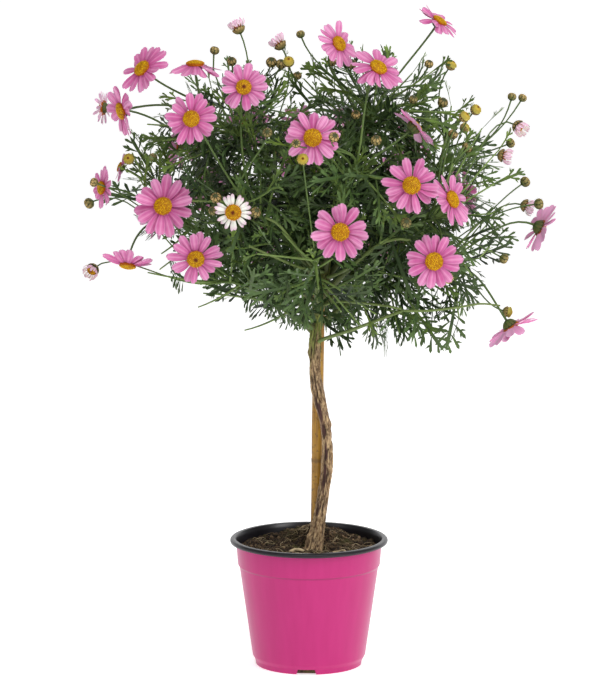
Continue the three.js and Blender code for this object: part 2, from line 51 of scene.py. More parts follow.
# %% [markdown]
# ## Closed surfaces
# Stems, pots and bud cups are all rings of points carried along a line, closed by a point at either
# end. Leaves and petals are one small shape repeated many times, each time turned and placed by three
# axes. So two kinds of function are enough: one lays rings, and one makes copies. A triangle is kept
# in the same table as the four-cornered faces, with -1 for its missing corner.


# %% A shape, and several shapes as one
def shape(points, faces, under=None, **marks):
    """Points (n, 3), faces (m, 4), the faces that are an underside, and named values of each point."""
    count = len(points)
    back = np.zeros(len(faces)) if under is None else np.asarray(under, float)
    named = {name: np.broadcast_to(value, count).astype(float) for name, value in marks.items()}
    return {"points": np.asarray(points, float), "faces": faces, "under": back, "marks": named}


def gather(shapes):
    """Several shapes as one. The corner numbers of each are moved on by the points before it."""
    firsts = np.cumsum([0] + [len(one["points"]) for one in shapes[:-1]])
    faces = [np.where(one["faces"] < 0, -1, one["faces"] + first) for one, first in zip(shapes, firsts)]
    names = sorted({name for one in shapes for name in one["marks"]})
    blank = [np.zeros(len(one["points"])) for one in shapes]
    marks = {n: np.concatenate([one["marks"].get(n, b) for one, b in zip(shapes, blank)]) for n in names}
    points = np.concatenate([one["points"] for one in shapes])
    return shape(points, np.concatenate(faces), np.concatenate([one["under"] for one in shapes]), **marks)


def copies(template, axes, places, **marks):
    """The template once for each place: a point p goes to place + p . axes. Each mark is one value
    for each copy."""
    count, each = len(places), len(template["points"])
    points = (template["points"] @ axes + np.asarray(places)[:, None]).reshape(-1, 3)
    moved = template["faces"] + each * np.arange(count)[:, None, None]
    faces = np.where(template["faces"] < 0, -1, moved).reshape(-1, 4)
    kept = {name: np.tile(value, count) for name, value in template["marks"].items()}
    given = {name: np.repeat(np.broadcast_to(value, count), each) for name, value in marks.items()}
    return shape(points, faces, np.tile(template["under"], count), **kept, **given)


# %% Rings into a closed skin
def ring_faces(count, sides):
    """Faces over `count` rings of `sides` points: point 0 closes the start, the last one the end."""
    at = 1 + np.arange(count * sides).reshape(count, sides)
    after = np.roll(at, -1, axis=1)
    walls = np.stack([at[:-1], after[:-1], after[1:], at[1:]], axis=-1).reshape(-1, 4)
    none = np.full(sides, -1)
    start = np.stack([np.zeros(sides, int), after[0], at[0], none], axis=-1)
    end = np.stack([np.full(sides, count * sides + 1), at[-1], after[-1], none], axis=-1)
    return np.concatenate([walls, start, end])


def skins(rings, starts, ends, **marks):
    """Closed skins over rings (n, count, sides, 3). A mark may be (n, count, sides), and its end
    points take the mean of the ring beside them."""
    number, count, sides = rings.shape[:3]
    flat = rings.reshape(number, -1, 3)
    points = np.concatenate([starts[:, None], flat, ends[:, None]], axis=1)
    each = count * sides + 2
    faces = ring_faces(count, sides)
    moved = faces + each * np.arange(number)[:, None, None]
    faces = np.where(faces < 0, -1, moved).reshape(-1, 4)
    full = {}
    for name, value in marks.items():
        table = np.broadcast_to(value, (number, count, sides))
        first, last = table[:, 0].mean(1, keepdims=True), table[:, -1].mean(1, keepdims=True)
        full[name] = np.concatenate([first, table.reshape(number, -1), last], axis=1).ravel()
    return shape(points.reshape(-1, 3), faces, None, **full)


def turned(profile, sides):
    """A lathed body: each [radius, height] of the profile goes round Z in equal steps. The first and
    the last point lie on the axis."""
    inner = np.asarray(profile[1:-1], float)
    around = 2 * np.pi * np.arange(sides) / sides
    x = inner[:, :1] * np.cos(around)
    y = inner[:, :1] * np.sin(around)
    rings = np.stack([x, y, np.broadcast_to(inner[:, 1:], x.shape)], axis=-1)
    ends = [np.array([[0, 0, profile[i][1]]], float) for i in (0, -1)]
    return skins(rings[None], *ends)


# %% Tubes along lines
def unit(vectors):
    """Vectors brought to length 1."""
    return vectors / np.maximum(np.linalg.norm(vectors, axis=-1, keepdims=True), 1e-9)


# No line of the plant runs this way, so each line takes its first direction across from it.
FIRST_ACROSS = np.array([0.31, 0.95, 0.05])


def frames_along(lines):
    """For lines (n, k, 3): the way along each point, and two directions across it. The first one
    across is carried from point to point, and at each loses only its part along the line, so that
    the tube doesn't twist."""
    before = np.concatenate([lines[:, :1], lines[:, :-1]], axis=1)
    after = np.concatenate([lines[:, 1:], lines[:, -1:]], axis=1)
    along = unit(after - before)
    side = np.empty_like(along)
    carried = np.tile(FIRST_ACROSS, (len(lines), 1))
    for k in range(lines.shape[1]):
        carried = unit(carried - along[:, k] * np.sum(carried * along[:, k], axis=-1, keepdims=True))
        side[:, k] = carried
    return along, side, np.cross(along, side)


def tubes(lines, radii, sides, ripple=1.0, **marks):
    """Round tubes: at angle a of a ring, the point is centre + radius (side cos a + other sin a).
    Each end is closed by a point half a radius further on."""
    along, side, other = frames_along(lines)
    around = 2 * np.pi * np.arange(sides) / sides
    out = side[:, :, None] * np.cos(around)[:, None] + other[:, :, None] * np.sin(around)[:, None]
    reach = np.broadcast_to(radii, lines.shape[:2])[..., None] * ripple
    rings = lines[:, :, None] + out * np.broadcast_to(reach, out.shape[:3])[..., None]
    starts = lines[:, 0] - along[:, 0] * reach[:, 0, :1] / 2
    ends = lines[:, -1] + along[:, -1] * reach[:, -1, :1] / 2
    return skins(rings, starts, ends, **marks)


# %% A piece of the plant as a Blender object
def add_piece(name, form, finish, stands_for=(), crease=40):
    """The form as a mesh with its object at the origin. It rides on the one body of the part, and
    edges sharper than `crease` degrees stay crisp."""
    mesh = bpy.data.meshes.new(name)
    corners = form["faces"][form["faces"] >= 0]
    sizes = np.count_nonzero(form["faces"] >= 0, axis=1)
    mesh.vertices.add(len(form["points"]))
    mesh.vertices.foreach_set("co", (form["points"] * MM).astype(np.float32).ravel())
    mesh.loops.add(len(corners))
    mesh.loops.foreach_set("vertex_index", corners.astype(np.int32))
    mesh.polygons.add(len(sizes))
    mesh.polygons.foreach_set("loop_start", (np.cumsum(sizes) - sizes).astype(np.int32))
    mesh.update(calc_edges=True)
    for mark, values in form["marks"].items():
        mesh.attributes.new(mark, "FLOAT", "POINT").data.foreach_set("value", values.astype(np.float32))
    if form["under"].any():
        underside = mesh.attributes.new("under", "FLOAT", "FACE")
        underside.data.foreach_set("value", form["under"].astype(np.float32))
    mesh.shade_smooth()
    mesh.set_sharp_from_angle(angle=math.radians(crease))
    mesh.materials.append(finish)
    piece = bpy.data.objects.new(name, mesh)
    bpy.context.scene.collection.objects.link(piece)
    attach(piece, "root")
    if stands_for:
        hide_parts(*stands_for)
    return piece


def triangles(piece):
    """How many triangles a piece has."""
    return sum(len(face.vertices) - 2 for face in piece.data.polygons)


# %% [markdown]
# ## Colours and shader nodes
# A colour is written as it looks on a screen, in sRGB, and the shader works with linear light. One
# function turns the one into the other, and one function adds a node with its settings and links.


# %% Colour and node helpers
def linear(code):
    """An sRGB hex colour as linear RGBA: below 0.04045 a straight line, above it a power of 2.4."""
    channels = [int(code[i : i + 2], 16) / 255 for i in (1, 3, 5)]
    return tuple(c / 12.92 if c <= 0.04045 else ((c + 0.055) / 1.055) ** 2.4 for c in channels) + (1.0,)


def main_output(node):
    """The output that is meant where a node is given as an input: its factor or its result."""
    shown = [output for output in node.outputs if output.enabled]
    named = [output for output in shown if output.name in ("Fac", "Result", "Value")]
    return (named or shown)[0]


def add_node(tree, kind, inputs, **settings):
    """One shader node. Each input is a plain value, an sRGB hex colour, a node or one of its outputs."""
    node = tree.nodes.new("ShaderNode" + kind)
    for name, value in settings.items():
        setattr(node, name, value)
    for socket, value in inputs.items():
        if isinstance(value, bpy.types.Node):
            tree.links.new(main_output(value), node.inputs[socket])
        elif isinstance(value, bpy.types.NodeSocket):
            tree.links.new(value, node.inputs[socket])
        else:
            node.inputs[socket].default_value = linear(value) if isinstance(value, str) else value
    return node


def new_finish(name, **sockets):
    """A material with its tree and its Principled shader, whose plain sockets are set directly."""
    finish = bpy.data.materials.new(name)
    finish.use_nodes = True
    shader = finish.node_tree.nodes["Principled BSDF"]
    for socket, value in sockets.items():
        shader.inputs[socket.replace("_", " ")].default_value = value
    return finish, finish.node_tree, shader


def feed(tree, shader, **sources):
    """Links nodes to sockets of the shader, which are named with _ for a space."""
    for socket, node in sources.items():
        tree.links.new(main_output(node), shader.inputs[socket.replace("_", " ")])


def patches(*sizes):
    """The scale of a pattern whose patches are these sizes in millimetres along X, Y and Z."""
    return tuple(1000 / size for size in (sizes if len(sizes) == 3 else sizes * 3))


# Numbers of the colour sockets of a Mix node, which has several sets of them, and its setting.
FACTOR, FIRST, SECOND = 0, 6, 7
COLOURS = {"data_type": "RGBA"}

# %% [markdown]
# ## Camera, light and floor
# The photograph is a product shot on white: a long lens from a little above, and soft light from
# large panels. The view is fitted to the pot, whose rim is a circle seen as an ellipse: its height
# against its width gives the angle from above.

# %% Camera
CAMERA_AT = (-8.5, -4500.0, 1095.0)
LOOKS_AT = (-8.5, 0.0, 311.0)
LENS = 255.0  # with a 36 mm sensor this takes in 644 mm from top to bottom at the plant

camera_data = bpy.data.cameras.new("camera")
camera_data.lens = LENS
camera_data.sensor_width = 36
camera_data.clip_end = 50
camera = bpy.data.objects.new("camera", camera_data)
bpy.context.scene.collection.objects.link(camera)
way = np.subtract(LOOKS_AT, CAMERA_AT)
camera.location = np.array(CAMERA_AT) * MM
camera.rotation_euler = (math.pi / 2 + math.atan2(way[2], way[1]), 0, 0)
bpy.context.scene.camera = camera
bpy.context.scene.view_settings.view_transform = "Standard"
print("camera looks down by", round(-math.degrees(math.atan2(way[2], way[1])), 2), "degrees")

# %% Soft light
# Each panel: where it stands and what it faces, in mm, its size in metres and its power in watts.
PANELS = [
    ((-1500, -1300, 1500), (0, 0, 330), (0.9, 1.5), 5),
    ((1500, -1400, 1500), (0, 0, 330), (0.8, 1.4), 24),
    ((100, -900, 2200), (0, 0, 380), (1.6, 1.2), 17),
    ((300, 1500, 1500), (0, 0, 400), (1.6, 1.0), 6),
]
for number, (place, target, size, power) in enumerate(PANELS):
    lamp = bpy.data.lights.new(f"panel_{number}", "AREA")
    lamp.shape = "RECTANGLE"
    lamp.size, lamp.size_y = size
    lamp.energy = power
    panel = bpy.data.objects.new(lamp.name, lamp)
    bpy.context.scene.collection.objects.link(panel)
    panel.location = np.array(place) * MM
    aim = np.subtract(target, place)
    turn = math.atan2(aim[1], aim[0])
    drop = math.atan2(math.hypot(aim[0], aim[1]), -aim[2])
    panel.rotation_euler = (drop, 0, turn - math.pi / 2)

world = bpy.data.worlds.new("studio")
world.use_nodes = True
world.node_tree.nodes["Background"].inputs["Color"].default_value = linear("#ffffff")
world.node_tree.nodes["Background"].inputs["Strength"].default_value = 0.25
bpy.context.scene.world = world
print(len(PANELS), "panels")

# %% A pale floor that curves up into a backdrop
# The sheet's section is flat, then a quarter circle, then upright, and it runs straight from side to
# side. It is white paper, lit from behind as well, so that it stays white far from the panels. The
# bend starts further off than the camera stands, which keeps the plant in sight from behind too.
FLOOR_HALF, BEND_START, BEND_RADIUS, WALL_TOP = 14.0, 9.5, 1.2, 7.0  # metres
FLOOR_DROP = 0.0002  # how far the paper lies under the pot's foot, in metres
bend = np.linspace(0, np.pi / 2, 13)
wall = BEND_START + BEND_RADIUS
sheet_y = np.concatenate([[-FLOOR_HALF], BEND_START + BEND_RADIUS * np.sin(bend), [wall]])
sheet_z = np.concatenate([[0], BEND_RADIUS * (1 - np.cos(bend)), [WALL_TOP]]) - FLOOR_DROP
sides = np.array([-FLOOR_HALF, FLOOR_HALF])
sheet = np.stack(np.broadcast_arrays(sides, sheet_y[:, None], sheet_z[:, None]), axis=-1).reshape(-1, 3)
first = 2 * np.arange(len(sheet_y) - 1)
strips = np.stack([first, first + 1, first + 3, first + 2], axis=-1)
paper, tree, shader = new_finish("white_paper", Base_Color=linear("#fafafa"), Roughness=0.9)
shader.inputs["Emission Color"].default_value = linear("#ffffff")
shader.inputs["Emission Strength"].default_value = 0.62
floor_mesh = bpy.data.meshes.new("floor")
floor_mesh.from_pydata(sheet.tolist(), [], strips.tolist())
floor_mesh.shade_smooth()
floor_mesh.materials.append(paper)
floor = bpy.data.objects.new("floor", floor_mesh)
bpy.context.scene.collection.objects.link(floor)
print("floor and backdrop:", len(strips), "strips")

# %% [markdown]
# ## The pot
# A nursery pot of this kind is thermoformed: a sheet of two polypropylene layers, pink and black, is
# heated and sucked into a mould. It comes out pink outside and black inside, and the rim is rolled
# over with the black side showing. So it is made as two thin turned bodies, one inside the other. Its
# drainage notches are cut with tapered blocks, as the mould's inserts leave them.

# %% The pot's profile
# Radius and height of the outside, as in the CAD part, from the foot to the collar's corner. Then
# the collar's radius at its top, and the heights where the pink and the black layer end.
POT_OUTSIDE = [(50.9, 0), (51.5, 5), (53.8, 9), (66.1, 95), (67.6, 96.5)]
COLLAR_TOP, PINK_END, BLACK_END = 69.3, 117.3, 117.4
SHEET = 1.0
LAYER = 0.5
LAYER_GAP = 0.03
BEND_OUT, BEND_IN = 1.1, 1.0  # how softly the sheet bends at the outside and at the inside
LIP = [(73.4, 117.6), (74.5, 118.1), (75, 119.3), (74.8, 120.5), (74, 121.4), (72.7, 121.95)]
LIP_TOP = [(71.1, 122), (69.9, 121.8), (69.3, 121)]
POT_SIDES = 144


def softened(rows, radius):
    """A profile with each corner replaced by a short curve that starts `radius` before it: a
    quadratic Bezier from one side to the other, with the corner as its handle."""
    rows = [np.array(row, float) for row in rows]
    path = [rows[0]]
    for before, corner, after in zip(rows, rows[1:], rows[2:]):
        one = corner + unit(before - corner) * min(radius, np.linalg.norm(before - corner) / 2.2)
        two = corner + unit(after - corner) * min(radius, np.linalg.norm(after - corner) / 2.2)
        for t in (0, 0.33, 0.67, 1):
            path.append((1 - t) ** 2 * one + 2 * t * (1 - t) * corner + t * t * two)
    return [tuple(row) for row in path + [rows[-1]]]


def inset(rows, depth):
    """The same profile further in by `depth`, and its floor further up."""
    return [(radius - depth, max(height, depth)) for radius, height in rows]


def pot_wall(depth, end, bend):
    """The pot's wall at this depth in the sheet, from the middle of its floor to the height `end`."""
    return softened([(0, depth)] + inset(POT_OUTSIDE, depth) + [(COLLAR_TOP - depth, end)], bend)


pink_side, pink_back = pot_wall(0, PINK_END, BEND_OUT), pot_wall(LAYER, PINK_END, BEND_IN)
black_side = pot_wall(LAYER + LAYER_GAP, BLACK_END, BEND_IN)
black_back = pot_wall(SHEET, BLACK_END, BEND_IN)
black_rows = black_side + LIP + LIP_TOP + black_back[::-1]
pink_form = turned(pink_side + pink_back[::-1], POT_SIDES)
black_form = turned(black_rows, POT_SIDES)
print("pot profile points:", len(pink_side), "outside,", len(black_rows), "black")

# %% Polypropylene, thermoformed
# Pink polypropylene: glossy from the mould, with very faint upright draw lines where the hot sheet was
# stretched. The lines are about 6 mm apart and drawn stronger than the real ones, so that they show.
# A band in the corner under the collar is painted darker: painted shade where the collar's step shadows the
# wall.
COLLAR_CORNER, COLLAR_SHADE_REACH = 95.7, 1.3
pink_plastic, tree, shader = new_finish(
    "pink_thermoformed_polypropylene", Roughness=0.3, Specular_IOR_Level=0.32
)
own_place = add_node(tree, "TexCoord", {}).outputs["Object"]
drawn_out = add_node(tree, "Mapping", {"Vector": own_place, "Scale": patches(6.2, 6.2, 110)})
draw_lines = add_node(tree, "TexNoise", {"Vector": drawn_out, "Scale": 1.0, "Detail": 2.0})
pink = add_node(tree, "Mix", {FACTOR: draw_lines, FIRST: "#b41e6c", SECOND: "#c02777"}, **COLOURS)
height = add_node(tree, "SeparateXYZ", {"Vector": own_place}).outputs["Z"]
above_corner = add_node(tree, "Math", {0: height, 1: COLLAR_CORNER * MM}, operation="SUBTRACT")
from_corner = add_node(tree, "Math", {0: above_corner}, operation="ABSOLUTE")
# Painted shade: the pink darkens within this reach of the corner under the collar.
collar_shade_range = {"Value": from_corner, "From Max": COLLAR_SHADE_REACH * MM, "To Min": 0.65, "To Max": 0}
collar_shade = add_node(tree, "MapRange", collar_shade_range)
collar_shaded = add_node(tree, "Mix", {FACTOR: collar_shade, FIRST: pink, SECOND: "#7a1049"}, **COLOURS)
line_bump = add_node(tree, "Bump", {"Height": draw_lines, "Strength": 0.05, "Distance": 0.0005})
feed(tree, shader, Base_Color=collar_shaded, Normal=line_bump)

# Black polypropylene: the same sheet's inner layer, duller because it didn't touch the mould.
black_plastic, tree, shader = new_finish("black_polypropylene", Roughness=0.34, IOR=1.49)
own_place = add_node(tree, "TexCoord", {}).outputs["Object"]
scuffs = add_node(tree, "TexNoise", {"Vector": own_place, "Scale": 220.0, "Detail": 5.0})
black = add_node(tree, "Mix", {FACTOR: scuffs, FIRST: "#0d0b12", SECOND: "#1e1b24"}, **COLOURS)
scuff_bump = add_node(tree, "Bump", {"Height": scuffs, "Strength": 0.12, "Distance": 0.0004})
feed(tree, shader, Base_Color=black, Normal=scuff_bump)
print("pink and black polypropylene")

# %% The two layers, with their drainage notches cut
NOTCH = {"width": 20, "height": 5, "taper": 2, "reach": 14, "first": 0.05}


def notch_blocks():
    """Four tapered blocks through the heel, one for each quarter of the pot, as one mesh."""
    half, high, taper, reach = NOTCH["width"] / 2, NOTCH["height"], NOTCH["taper"], NOTCH["reach"]
    outline = [(-half, -taper), (half, -taper), (half - taper, high), (taper - half, high)]
    near, far = -POT_OUTSIDE[0][0] - reach / 2, -POT_OUTSIDE[0][0] + reach / 2
    corners = [(x, near, z) for x, z in outline] + [(x, far, z) for x, z in outline]
    faces = np.array([[0, 1, 2, 3], [7, 6, 5, 4], [4, 5, 1, 0], [5, 6, 2, 1], [6, 7, 3, 2], [7, 4, 0, 3]])
    turns = np.arange(4) * np.pi / 2 - NOTCH["first"]
    axes = np.stack(
        [
            np.stack([np.cos(turns), np.sin(turns), 0 * turns], -1),
            np.stack([-np.sin(turns), np.cos(turns), 0 * turns], -1),
            np.tile([0.0, 0.0, 1.0], (4, 1)),
        ],
        axis=1,
    )
    return copies(shape(np.array(corners), faces), axes, np.zeros((4, 3)))


def cut_notches(piece):
    """Takes the blocks out of the piece with a Boolean, applied at once, and keeps its finish."""
    form = notch_blocks()
    mesh = bpy.data.meshes.new("notch_blocks")
    mesh.from_pydata((form["points"] * MM).tolist(), [], form["faces"].tolist())
    blocks = bpy.data.objects.new("notch_blocks", mesh)
    bpy.context.scene.collection.objects.link(blocks)
    cut = piece.modifiers.new("notches", "BOOLEAN")
    cut.operation = "DIFFERENCE"
    cut.solver = "EXACT"
    cut.object = blocks
    done = piece.evaluated_get(bpy.context.evaluated_depsgraph_get())
    finished = bpy.data.meshes.new_from_object(done)
    piece.modifiers.clear()
    piece.data = finished
    bpy.data.objects.remove(blocks)


layers = [("pot_pink_layer", pink_form, pink_plastic), ("pot_black_layer", black_form, black_plastic)]
for name, form, finish in layers:
    layer = add_piece(name, form, finish, ["pot"], crease=28)
    cut_notches(layer)
    print(name, triangles(layer), "triangles")

# %% [markdown]
# ## Roughness without a picture
# Soil, bark and buds are rough in a way that no two places repeat. A sum of waves does that: each wave
# has its own direction and length, drawn once from a seeded generator, and their sum is smooth, never
# repeats and can be worked out for a whole array of points at once.


# %% Waves, and a curve through points
WAVE_COUNT = 18
WAVE_PEAK = 1.6  # nine in ten sums of such waves stay within this many standard deviations


def waves(places, length, seed):
    """A rough value near -1 to 1 at each place (n, 3): the sum of sine waves, each with a random
    direction and a wavelength from 0.6 to 1.7 times `length`."""
    random = np.random.default_rng(seed)
    ways = unit(random.normal(size=(WAVE_COUNT, 3)))
    ways = ways * (2 * np.pi / (length * random.uniform(0.6, 1.7, (WAVE_COUNT, 1))))
    phases = random.uniform(0, 2 * np.pi, WAVE_COUNT)
    return np.sin(places @ ways.T + phases).sum(-1) * math.sqrt(2 / WAVE_COUNT) / WAVE_PEAK


def smooth_step(values, low, high):
    """0 below `low`, 1 above `high`, and 3t^2 - 2t^3 between them."""
    t = np.clip((values - low) / (high - low), 0, 1)
    return t * t * (3 - 2 * t)


def through(rows, stations):
    """A smooth curve through the rows (the Catmull-Rom rule), at stations counted in rows."""
    padded = np.concatenate([2 * rows[:1] - rows[1:2], rows, 2 * rows[-1:] - rows[-2:-1]])
    step = np.minimum(stations.astype(int), len(rows) - 2)
    t = (stations - step)[:, None]
    a, b, c, d = (padded[step + k] for k in range(4))
    bend, twist = 2 * a - 5 * b + 4 * c - d, 3 * b - a - 3 * c + d
    return 0.5 * (2 * b + (c - a) * t + bend * t**2 + twist * t**3)


# %% [markdown]
# ## The potting mix
# Moist dark peat with bark chips and root fibres. The surface is the CAD's gentle heap with finer
# lumps added. On it lie 1700 crumbs, some flat chips, and thin pale fibres.

# %% The surface of the mix
MIX_EDGE = 67.3  # its radius at the top
MIX_LEVEL = 111.5
MIX_MOUND, MOUND_AT, MOUND_REACH = 12.5, (5, 34), 32
DRAWS_SEED = 4  # every draw after this one follows from it, in the order of the script
random = np.random.default_rng(DRAWS_SEED)


def mix_height(x, y):
    """The CAD part's heap: level + mound . exp(-(distance / reach)^2), and its lumps."""
    away = np.hypot(x - MOUND_AT[0], y - MOUND_AT[1]) / MOUND_REACH
    lumps = np.sin(x * 0.17 + 1.3) * np.sin(y * 0.21) + 0.6 * np.sin(x * 0.35 - y * 0.29)
    return MIX_LEVEL + MIX_MOUND * np.exp(-(away**2)) + lumps


def crumbled(x, y):
    """Height of the crumbly top: the heap, and waves of about 11, 4.5 and 2 mm on it."""
    flat = np.stack([x, y, 0 * x], axis=-1)
    fine = 1.3 * waves(flat, 11, 1) + 0.8 * waves(flat, 4.5, 2) + 0.45 * waves(flat, 2.2, 3)
    return mix_height(x, y) + fine


MIX_BELOW = [(0, 1.4), (49.4, 1.4), (52.4, 9), (64.7, 95.4), (66.2, 97.2)]
MIX_RINGS = 58
MIX_SIDES = 200
NOT_YET = 200.0  # stands for a height that is worked out below
top_rows = [(MIX_EDGE * (1 - k / MIX_RINGS), NOT_YET) for k in range(MIX_RINGS)]
mix_form = turned(MIX_BELOW + top_rows + [(0, NOT_YET)], MIX_SIDES)
on_top = mix_form["points"][:, 2] > NOT_YET - 1
mix_form["points"][on_top, 2] = crumbled(*mix_form["points"][on_top, :2].T)
print("mix surface:", len(mix_form["faces"]), "faces")

# %% Peat
# Moist peat: near black where wet, brown where dry, with a green bloom of algae in places, and dull.
peat, tree, shader = new_finish("moist_peat", Roughness=0.95, IOR=1.4)
own_place = add_node(tree, "TexCoord", {}).outputs["Object"]
grains = add_node(tree, "TexNoise", {"Vector": own_place, "Scale": 420.0, "Detail": 6.0, "Roughness": 0.7})
grain_share = add_node(tree, "MapRange", {"Value": grains, "From Min": 0.42, "From Max": 0.66})
brown = add_node(tree, "Mix", {FACTOR: grain_share, FIRST: "#120b07", SECOND: "#5f4a38"}, **COLOURS)
blooms = add_node(tree, "TexNoise", {"Vector": own_place, "Scale": 70.0, "Detail": 3.0})
algae = add_node(tree, "MapRange", {"Value": blooms, "From Min": 0.5, "From Max": 0.66, "To Max": 0.55})
greened = add_node(tree, "Mix", {FACTOR: algae, FIRST: brown, SECOND: "#4f4f24"}, **COLOURS)
tone = add_node(tree, "Attribute", {}, attribute_name="tone")
crumbly = add_node(tree, "Mix", {FACTOR: tone, FIRST: greened, SECOND: "#9a8062"}, **COLOURS)
grain_bump = add_node(tree, "Bump", {"Height": grains, "Strength": 0.8, "Distance": 0.001})
feed(tree, shader, Base_Color=crumbly, Normal=grain_bump)

mix = add_piece("mix_surface", mix_form, peat, ["potting_mix"], crease=60)
print("mix surface:", triangles(mix), "triangles")


# %% Crumbs and chips
def lump_shape():
    """A lump of 12 points and 20 faces: an icosahedron."""
    golden = (1 + math.sqrt(5)) / 2
    points = [(-1, golden, 0), (1, golden, 0), (-1, -golden, 0), (1, -golden, 0)]
    points += [(0, -1, golden), (0, 1, golden), (0, -1, -golden), (0, 1, -golden)]
    points += [(golden, 0, -1), (golden, 0, 1), (-golden, 0, -1), (-golden, 0, 1)]
    faces = [(0, 11, 5), (0, 5, 1), (0, 1, 7), (0, 7, 10), (0, 10, 11), (1, 5, 9), (5, 11, 4), (11, 10, 2)]
    faces += [(10, 7, 6), (7, 1, 8), (3, 9, 4), (3, 4, 2), (3, 2, 6), (3, 6, 8), (3, 8, 9), (4, 9, 5)]
    faces += [(2, 4, 11), (6, 2, 10), (8, 6, 7), (9, 8, 1)]
    return shape(unit(np.array(points)), np.array([face + (-1,) for face in faces]))


def random_axes(count, sizes):
    """Random turns as three axes each, with each axis scaled by its own size (count, 3)."""
    first = unit(random.normal(size=(count, 3)))
    second = unit(np.cross(first, random.normal(size=(count, 3))))
    return np.stack([first, second, np.cross(first, second)], axis=1) * sizes[:, :, None]


def lying_on_mix(count, least=0.0, most=0.965):
    """Random places on the mix, spread evenly over its round top."""
    radius = MIX_EDGE * np.sqrt(random.uniform(least**2, most**2, count))
    turn = random.uniform(0, 2 * np.pi, count)
    x, y = radius * np.cos(turn), radius * np.sin(turn)
    return np.stack([x, y, crumbled(x, y)], axis=-1)


CRUMBS = 1700
crumb_growth = 1.6 * random.uniform(0, 1, (CRUMBS, 1)) ** 3
crumb_sizes = 0.5 + crumb_growth * random.uniform(0.6, 1.3, (CRUMBS, 3))
crumb_tones = np.where(random.uniform(0, 1, CRUMBS) < 0.3, random.uniform(0.2, 0.9, CRUMBS), 0.03)
crumbs = copies(lump_shape(), random_axes(CRUMBS, crumb_sizes), lying_on_mix(CRUMBS), tone=crumb_tones)

CHIPS = 90
chip_sizes = random.uniform([2, 0.8, 0.4], [4.6, 2.2, 0.9], (CHIPS, 3))
chip_turn = random.uniform(0, 2 * np.pi, CHIPS)
chip_along = np.stack([np.cos(chip_turn), np.sin(chip_turn), random.normal(0, 0.25, CHIPS)], -1)
chip_side = np.cross(chip_along, [0, 0, 1.0]) + random.normal(0, 0.3, (CHIPS, 3))
chip_up = unit(np.cross(chip_side, chip_along))
chip_ways = [unit(chip_along), unit(np.cross(chip_up, chip_along)), chip_up]
chip_axes = np.stack(chip_ways, axis=1) * chip_sizes[:, :, None]
chip_tones = random.uniform(0, 1, CHIPS) ** 1.6
chips = copies(lump_shape(), chip_axes, lying_on_mix(CHIPS, 0, 0.92) + [0, 0, 0.3], tone=chip_tones)
loose = gather([crumbs, chips])
crumb_piece = add_piece("mix_crumbs", loose, peat, ["potting_mix"], crease=30)
print("crumbs and chips:", triangles(crumb_piece), "triangles")

# %% Root fibres and bits of straw
# Each fibre is a thin tube that wanders over the mix: its heading turns a little at each step, and its
# height is that of the mix with a low hump.
FIBRES = 190
FIBRE_STEPS = 11
fibre_start = lying_on_mix(FIBRES, 0.12, 0.86)
bends = np.cumsum(random.normal(0, 0.42, (FIBRES, FIBRE_STEPS)), axis=1)
heading = random.uniform(0, 2 * np.pi, (FIBRES, 1)) + bends
fibre_reach = random.uniform(0.6, 2.4, (FIBRES, 1))
fibre_x = fibre_start[:, :1] + np.cumsum(np.cos(heading) * fibre_reach, axis=1)
fibre_y = fibre_start[:, 1:2] + np.cumsum(np.sin(heading) * fibre_reach, axis=1)
FIBRE_LIMIT = 0.955  # no fibre goes past this share of the mix's radius
back_in = np.minimum(1, FIBRE_LIMIT * MIX_EDGE / np.hypot(fibre_x, fibre_y))
fibre_x, fibre_y = fibre_x * back_in, fibre_y * back_in
hump = np.sin(np.linspace(0, np.pi, FIBRE_STEPS)) * random.uniform(0.3, 2.6, (FIBRES, 1))
fibre_z = mix_height(fibre_x, fibre_y) + 0.7 + hump
fibre_lines = np.stack([fibre_x, fibre_y, fibre_z], axis=-1)
fibre_radii = random.uniform(0.15, 0.42, (FIBRES, 1)) * np.linspace(1, 0.45, FIBRE_STEPS)
fibre_tones = random.uniform(0, 1, (FIBRES, 1, 1)) ** 1.4
fine_fibres = tubes(fibre_lines, fibre_radii, 4, tone=fibre_tones)

# A few larger pieces: two straws, a curved root and a stub of pale root. Each row of a line is a
# place on the mix, and the height of its middle above it.
LITTER = [
    ([(-58, -22, 1.2), (-52, -24, 1.8), (-46, -25, 1.8), (-40, -27, 1.2), (-35, -28, 0.6)], 1.1, 1.0),
    ([(-50, -44, 1.0), (-42, -45, 1.6), (-33, -46, 1.6), (-26, -47, 1.2), (-20, -47, 0.6)], 0.9, 0.85),
    ([(22, -22, 0.6), (28, -24, 2.6), (33, -28, 3.2), (37, -34, 2.4), (38, -41, 0.6)], 0.9, 0.95),
    ([(-18, -20, 1.0), (-14, -20, 2.2), (-11, -21, 2.6), (-8, -21, 2.4), (-5, -21, 1.2)], 1.9, 1.0),
]
LITTER_STEPS = 17
litter = []
for places, radius, tone in LITTER:
    x, y, above = np.array(places, float).T
    line = np.stack([x, y, mix_height(x, y) + above], axis=-1)
    smooth = through(line, np.linspace(0, len(line) - 1, LITTER_STEPS))
    litter.append(tubes(smooth[None], radius * np.linspace(1, 0.7, LITTER_STEPS)[None], 8, tone=tone))

